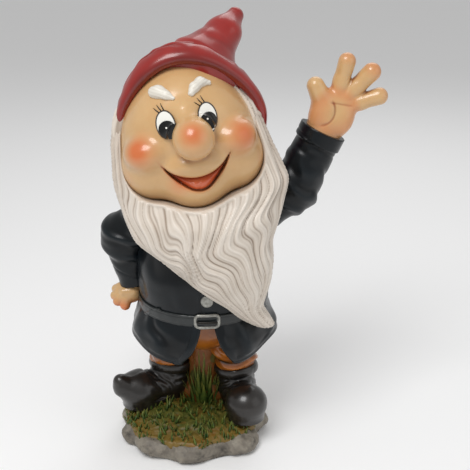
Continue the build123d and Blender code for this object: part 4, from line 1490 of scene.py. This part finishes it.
def hair_waves(turn, drop, seed):
    """Relief of wavy locks, strands and hairs along a bearing and a drop.

    Strands keep their spacing round the bearing and snake together as they fall.
    """
    wave = noise(np.stack([turn * 1.3, drop / 40], -1), seed)
    snake = 0.13 * np.sin(drop / 13 + turn * 2.3 + 2.5 * wave)
    snake = snake + 0.07 * np.sin(drop / 6.5 + turn * 5 + 3 * wave)
    bend = turn + snake * ease(drop, 35, 60) + 0.06 * wave
    lock = np.sin(bend * HAIR_LOCKS + 1.6 * noise(np.stack([bend * 2.5, drop / 60], -1), seed + 1))
    strand = np.sin(bend * HAIR_LOCKS * 3.5 + 1.8 * noise(np.stack([bend * 6, drop / 30], -1), seed + 2))
    fine = np.sin(bend * HAIR_LOCKS * 9.1 + 2.4 * noise(np.stack([bend * 12, drop / 18], -1), seed + 3))
    return lock, strand, fine


def beard_relief(p):
    """Carved locks with fine strands, flattened to a smooth rim by the face."""
    turn, _, drop, wide, _ = in_beard(p)
    lock, strand, fine = hair_waves(turn, drop, 91)
    thin = np.clip(wide / 45, 0.25, 1)
    q = to_face(p)
    rim = np.clip(ease(face_window(q), 0.8, 3.0) + ease(-q[:, 2], -8, 8), 0, 1)
    carve = 0.9 * lock - 0.6 * bump(np.abs(lock + 1), 0.4) + 0.55 * strand + 0.28 * fine
    height = carve * thin * rim
    tone = 0.55 + 0.1 * lock + 0.2 * strand + 0.2 * fine
    return height, np.clip(tone, 0, 1) * rim + 0.6 * (1 - rim)


HAIR_THICKNESS = 3.0


def hair_field(p):
    """The bob of hair round the back of the head, and the nape down to the collar."""
    bob = oval(p, HEAD + [0, 0, -2], (54, 33, 42))
    nape = oval(p, HEAD + [1, 2, -34], (47, 30, 25))
    back = length(narrowed(to_face(p))) - HEAD_RADIUS - HAIR_THICKNESS
    collar = rod(p, [*WAIST[:2], COAT_TOP - 6], [WAIST[0], WAIST[1] - 6, HEAD[2] - 20], 24, 26)
    hair = np.maximum(blend(blend(bob, nape, 10), back, 6), in_hat(p)[:, 2] - 1)
    return np.maximum(blend(hair, collar, 8), to_face(p)[:, 2] - 16)


def hair_relief(p):
    """Locks that hang to the collar."""
    turn = np.arctan2(p[:, 0] - HEAD[0], p[:, 1] - HEAD[1])
    lock, strand, fine = hair_waves(turn, HEAD[2] - p[:, 2], 95)
    height = 1.3 * lock - 0.9 * bump(np.abs(lock + 1), 0.35) + 0.7 * strand + 0.25 * fine
    return height, np.clip(0.55 + 0.1 * lock + 0.2 * strand + 0.2 * fine, 0, 1)


class GNOME_OT_beard(bpy.types.Operator):
    """Beard and hair"""

    bl_idname = "gnome.beard"
    bl_label = "Beard and hair"

    def execute(self, context):
        paint = brushed_resin("satin beard enamel", "#cdc1b3", "#8f7a68", "#e6ddd2", 0.42, 0.15, 0.5,
                              22, ((0.35, 0.0), (1.0, 0.8)))[0]
        cast_over("beard", "carved_beard", beard_field, 4, 4, 0.85, paint, "beard_paint", beard_relief)
        cast_over("hair", "carved_hair", hair_field, 4, 14, 0.95, paint, "beard_paint", hair_relief)
        return {"FINISHED"}


# ---- Hat ----
HAT_TILT = radians(28)
HAT_ROLL = radians(-3)
HAT_CENTRE = np.array([3, 1, -1.0])
BRIM_RADIUS = 52.5
BRIM_RISE = 3.5
CROWN_RADIUS = 54.0
# Places along the tail, over the head's middle
TAIL = HEAD + np.array([(13, 6, 46), (27, 22, 64), (36, 34, 76)])


def in_hat(p):
    """Places in the hat's frame: across, over the brow, and along the crown's axis."""
    q = narrowed(to_face(p)) - HAT_CENTRE
    across = q[:, 0] * cos(HAT_ROLL) + q[:, 1] * sin(HAT_ROLL)
    up = q[:, 1] * cos(HAT_ROLL) - q[:, 0] * sin(HAT_ROLL)
    return np.stack([across, up * cos(HAT_TILT) + q[:, 2] * sin(HAT_TILT),
                     up * sin(HAT_TILT) - q[:, 2] * cos(HAT_TILT)], -1)


def brim_field(p):
    """A rolled brim, fat over the brow and thinning to the sides."""
    q = in_hat(p)
    around = length(q[:, :2])
    front = ease(q[:, 1] / np.maximum(around, 1e-6), -0.1, 0.85)
    across = around - BRIM_RADIUS - BRIM_RISE * front
    tall = 6.0 + 5.0 * front
    deep = 4.6 + 2.2 * front
    roll = np.stack([(across - 0.6) / deep, (q[:, 2] - 3.5 * front) / tall], -1)
    return 6 * (length(roll) - 1)


def brim_relief(p):
    """Two fold lines round the roll, and slack puckers."""
    q = in_hat(p)
    turn = np.arctan2(q[:, 0], q[:, 1])
    wave = noise(np.stack([turn * 4, q[:, 2] / 12], -1), 61)
    fold = bump(q[:, 2] - 6.8 - 0.9 * np.sin(turn * 1.7), 0.75)
    second = bump(q[:, 2] - 10.4 - 0.5 * np.sin(turn * 2.3 + 1), 0.6)
    pucker = np.sin(turn * 19 + 4 * wave) * ease(q[:, 2], -1, 5)
    height = -1.1 * fold - 0.7 * second + 0.28 * pucker + 0.35 * wave
    return height, np.clip(0.55 + 0.45 * height, 0, 1)


def crown_field(p):
    """The cap, drawn up into a floppy tail."""
    q = in_hat(p)
    dome = np.maximum(length(q) - CROWN_RADIUS, -q[:, 2] - 1)
    tail = chain(p, TAIL, [23, 12.5, 6.2], 6)
    hat = blend(dome, tail, 16)
    return np.maximum(hat, -(length(narrowed(to_face(p))) - HEAD_RADIUS + 6)) * 0.92


def crown_relief(p):
    """Slack folds that run from the brim to the tail and round its bends."""
    q = in_hat(p)
    turn = np.arctan2(q[:, 0], q[:, 1])
    wave = noise(p / 20, 63)
    long_fold = np.sin(turn * 9 + 3.5 * wave) * ease(q[:, 2], 4, 22)
    far = (p - TAIL[0]) @ unit(TAIL[2] - TAIL[0])
    rings = np.sin(far * 0.42 + 2.5 * wave) * ease(far, 0, 14)
    slack = (1 - 0.8 * ease(far, -4, 10)) * ease(length(q[:, :2]), 6, 32)
    height = 0.75 * long_fold * slack + 0.15 * rings + 0.25 * noise(p / 9, 64)
    return height, np.clip(0.52 + 0.4 * height, 0, 1)


class HatSettings(bpy.types.PropertyGroup):
    """Hat."""

    colour: FloatVectorProperty(name="Hat", description="Red hat enamel", size=3, min=0, max=1,
                                subtype="COLOR", default=linear("#861610")[:3])


class GNOME_OT_hat(bpy.types.Operator):
    """Hat brim and crown"""

    bl_idname = "gnome.hat"
    bl_label = "Hat"

    def execute(self, context):
        red = brushed_resin("gloss red enamel", context.scene.gnome_hat.colour, "#330803", "#a3231a",
                            0.3, 0.35, 0.5, 18)[0]
        cast_over("hat_brim", "hat_rolled_brim", brim_field, 5, 5, 0.9, red, "hat_paint", brim_relief)
        cast_over("hat_crown", "hat_cloth_crown", crown_field, 4, 3, 1.0, red, "hat_paint", crown_relief)
        return {"FINISHED"}


# ---- What the CAD still shows ----
class GNOME_OT_underside(bpy.types.Operator):
    """Finishes for the closing plate and its bung"""

    bl_idname = "gnome.underside"
    bl_label = "Underside"

    def execute(self, context):
        bare = brushed_resin("bare cast resin", "#8d867a", "#5d574d", "#b0a999", 0.7, bump_mm=0.2)[0]
        rubber = brushed_resin("black rubber", "#1d1d1c", "#0c0c0c", "#2c2c2a", 0.65)[0]
        for node, paint in (("base_plate", bare), ("base_bung", rubber)):
            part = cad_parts[node]
            part.data.materials.clear()
            part.data.materials.append(paint)
        return {"FINISHED"}


# ---- Stage ----
class StageSettings(bpy.types.PropertyGroup):
    """Floor, light and camera."""

    key_power: FloatProperty(name="Key light", description="Power of the big soft light", default=8,
                             min=0, unit="POWER")
    world_light: FloatProperty(name="Surround", description="Strength of the pale surround",
                               default=0.5, min=0)
    camera_height: FloatProperty(name="Camera elevation", description="Camera's angle over level",
                                 default=radians(20), subtype="ANGLE", unit="ROTATION")
    camera_distance: FloatProperty(name="Camera distance", description="Camera to the gnome's middle",
                                   default=0.7, min=0.1, subtype="DISTANCE", unit="LENGTH")


FOCAL_LENGTH = 66.77         # millimetres
AIM = (0.036, 0, 0.1735)     # metres: the camera and the lights turn about this place
FLOOR_SIZE = 14.0
FLOOR_GAP = 0.0004


class GNOME_OT_stage(bpy.types.Operator):
    """Floor, lights and camera"""

    bl_idname = "gnome.stage"
    bl_label = "Stage"

    def execute(self, context):
        scene = context.scene
        settings = scene.gnome_stage
        bpy.ops.mesh.primitive_plane_add(size=FLOOR_SIZE, location=(0, 0, CAD_BOX[0][2] - FLOOR_GAP))
        floor = context.object
        floor.name = "floor"
        paper, _, shader, _ = new_paint("matt white paper", 0.9)
        shader.inputs["Base Color"].default_value = (0.96, 0.96, 0.96, 1)
        floor.data.materials.append(paper)
        aim = Matrix.Translation(AIM)
        for name, power, size, turn, tilt, away in (
                ("key", settings.key_power, 0.55, -28, 38, 1.2),
                ("fill", settings.key_power * 0.3, 1.2, 62, 70, 1.5),
                ("rim", settings.key_power * 0.35, 0.8, 165, 45, 1.3)):
            lamp = bpy.data.objects.new(name, bpy.data.lights.new(name, "AREA"))
            lamp.data.energy = power
            lamp.data.size = size
            lamp.matrix_world = (aim @ Matrix.Rotation(radians(turn), 4, "Z")
                                 @ Matrix.Rotation(radians(tilt), 4, "X")
                                 @ Matrix.Translation((0, 0, away)))
            scene.collection.objects.link(lamp)
        world = bpy.data.worlds.new("studio")
        world.use_nodes = True
        background = world.node_tree.nodes["Background"].inputs
        background["Color"].default_value = (1, 1, 1, 1)
        background["Strength"].default_value = settings.world_light
        scene.world = world
        camera = bpy.data.objects.new("camera", bpy.data.cameras.new("camera"))
        camera.data.lens = FOCAL_LENGTH
        camera.data.clip_start = 0.05
        camera.matrix_world = (aim @ Matrix.Rotation(pi / 2 - settings.camera_height, 4, "X")
                               @ Matrix.Translation((0, 0, settings.camera_distance)))
        scene.collection.objects.link(camera)
        scene.camera = camera
        scene.view_settings.view_transform = "Standard"
        return {"FINISHED"}


class GNOME_PT_panel(bpy.types.Panel):
    """Every step of the gnome, in order"""

    bl_idname = "GNOME_PT_panel"
    bl_label = "Garden Gnome"
    bl_space_type = "VIEW_3D"
    bl_region_type = "UI"
    bl_category = "Gnome"

    def draw(self, context):
        for step in STEPS:
            self.layout.operator(step.bl_idname)


SETTINGS = {"gnome_rock": RockSettings, "gnome_grass": GrassSettings,
            "gnome_footwear": FootwearSettings, "gnome_coat": CoatSettings,
            "gnome_skin": SkinSettings, "gnome_hat": HatSettings, "gnome_stage": StageSettings}
STEPS = (GNOME_OT_base, GNOME_OT_boots, GNOME_OT_coat, GNOME_OT_head, GNOME_OT_beard, GNOME_OT_hat,
         GNOME_OT_underside, GNOME_OT_stage)


def register():
    """Register every class and hang the settings on the scene."""
    for kind in (*SETTINGS.values(), *STEPS, GNOME_PT_panel):
        bpy.utils.register_class(kind)
    for name, kind in SETTINGS.items():
        setattr(bpy.types.Scene, name, PointerProperty(type=kind))


def unregister():
    """Take the settings and the classes away again."""
    for name in SETTINGS:
        delattr(bpy.types.Scene, name)
    for kind in (GNOME_PT_panel, *STEPS[::-1], *SETTINGS.values()):
        bpy.utils.unregister_class(kind)


def main():
    """Build every piece in order."""
    register()
    for step in STEPS:
        group, name = step.bl_idname.split(".")
        getattr(getattr(bpy.ops, group), name)()


if __name__ == "__main__":
    main()
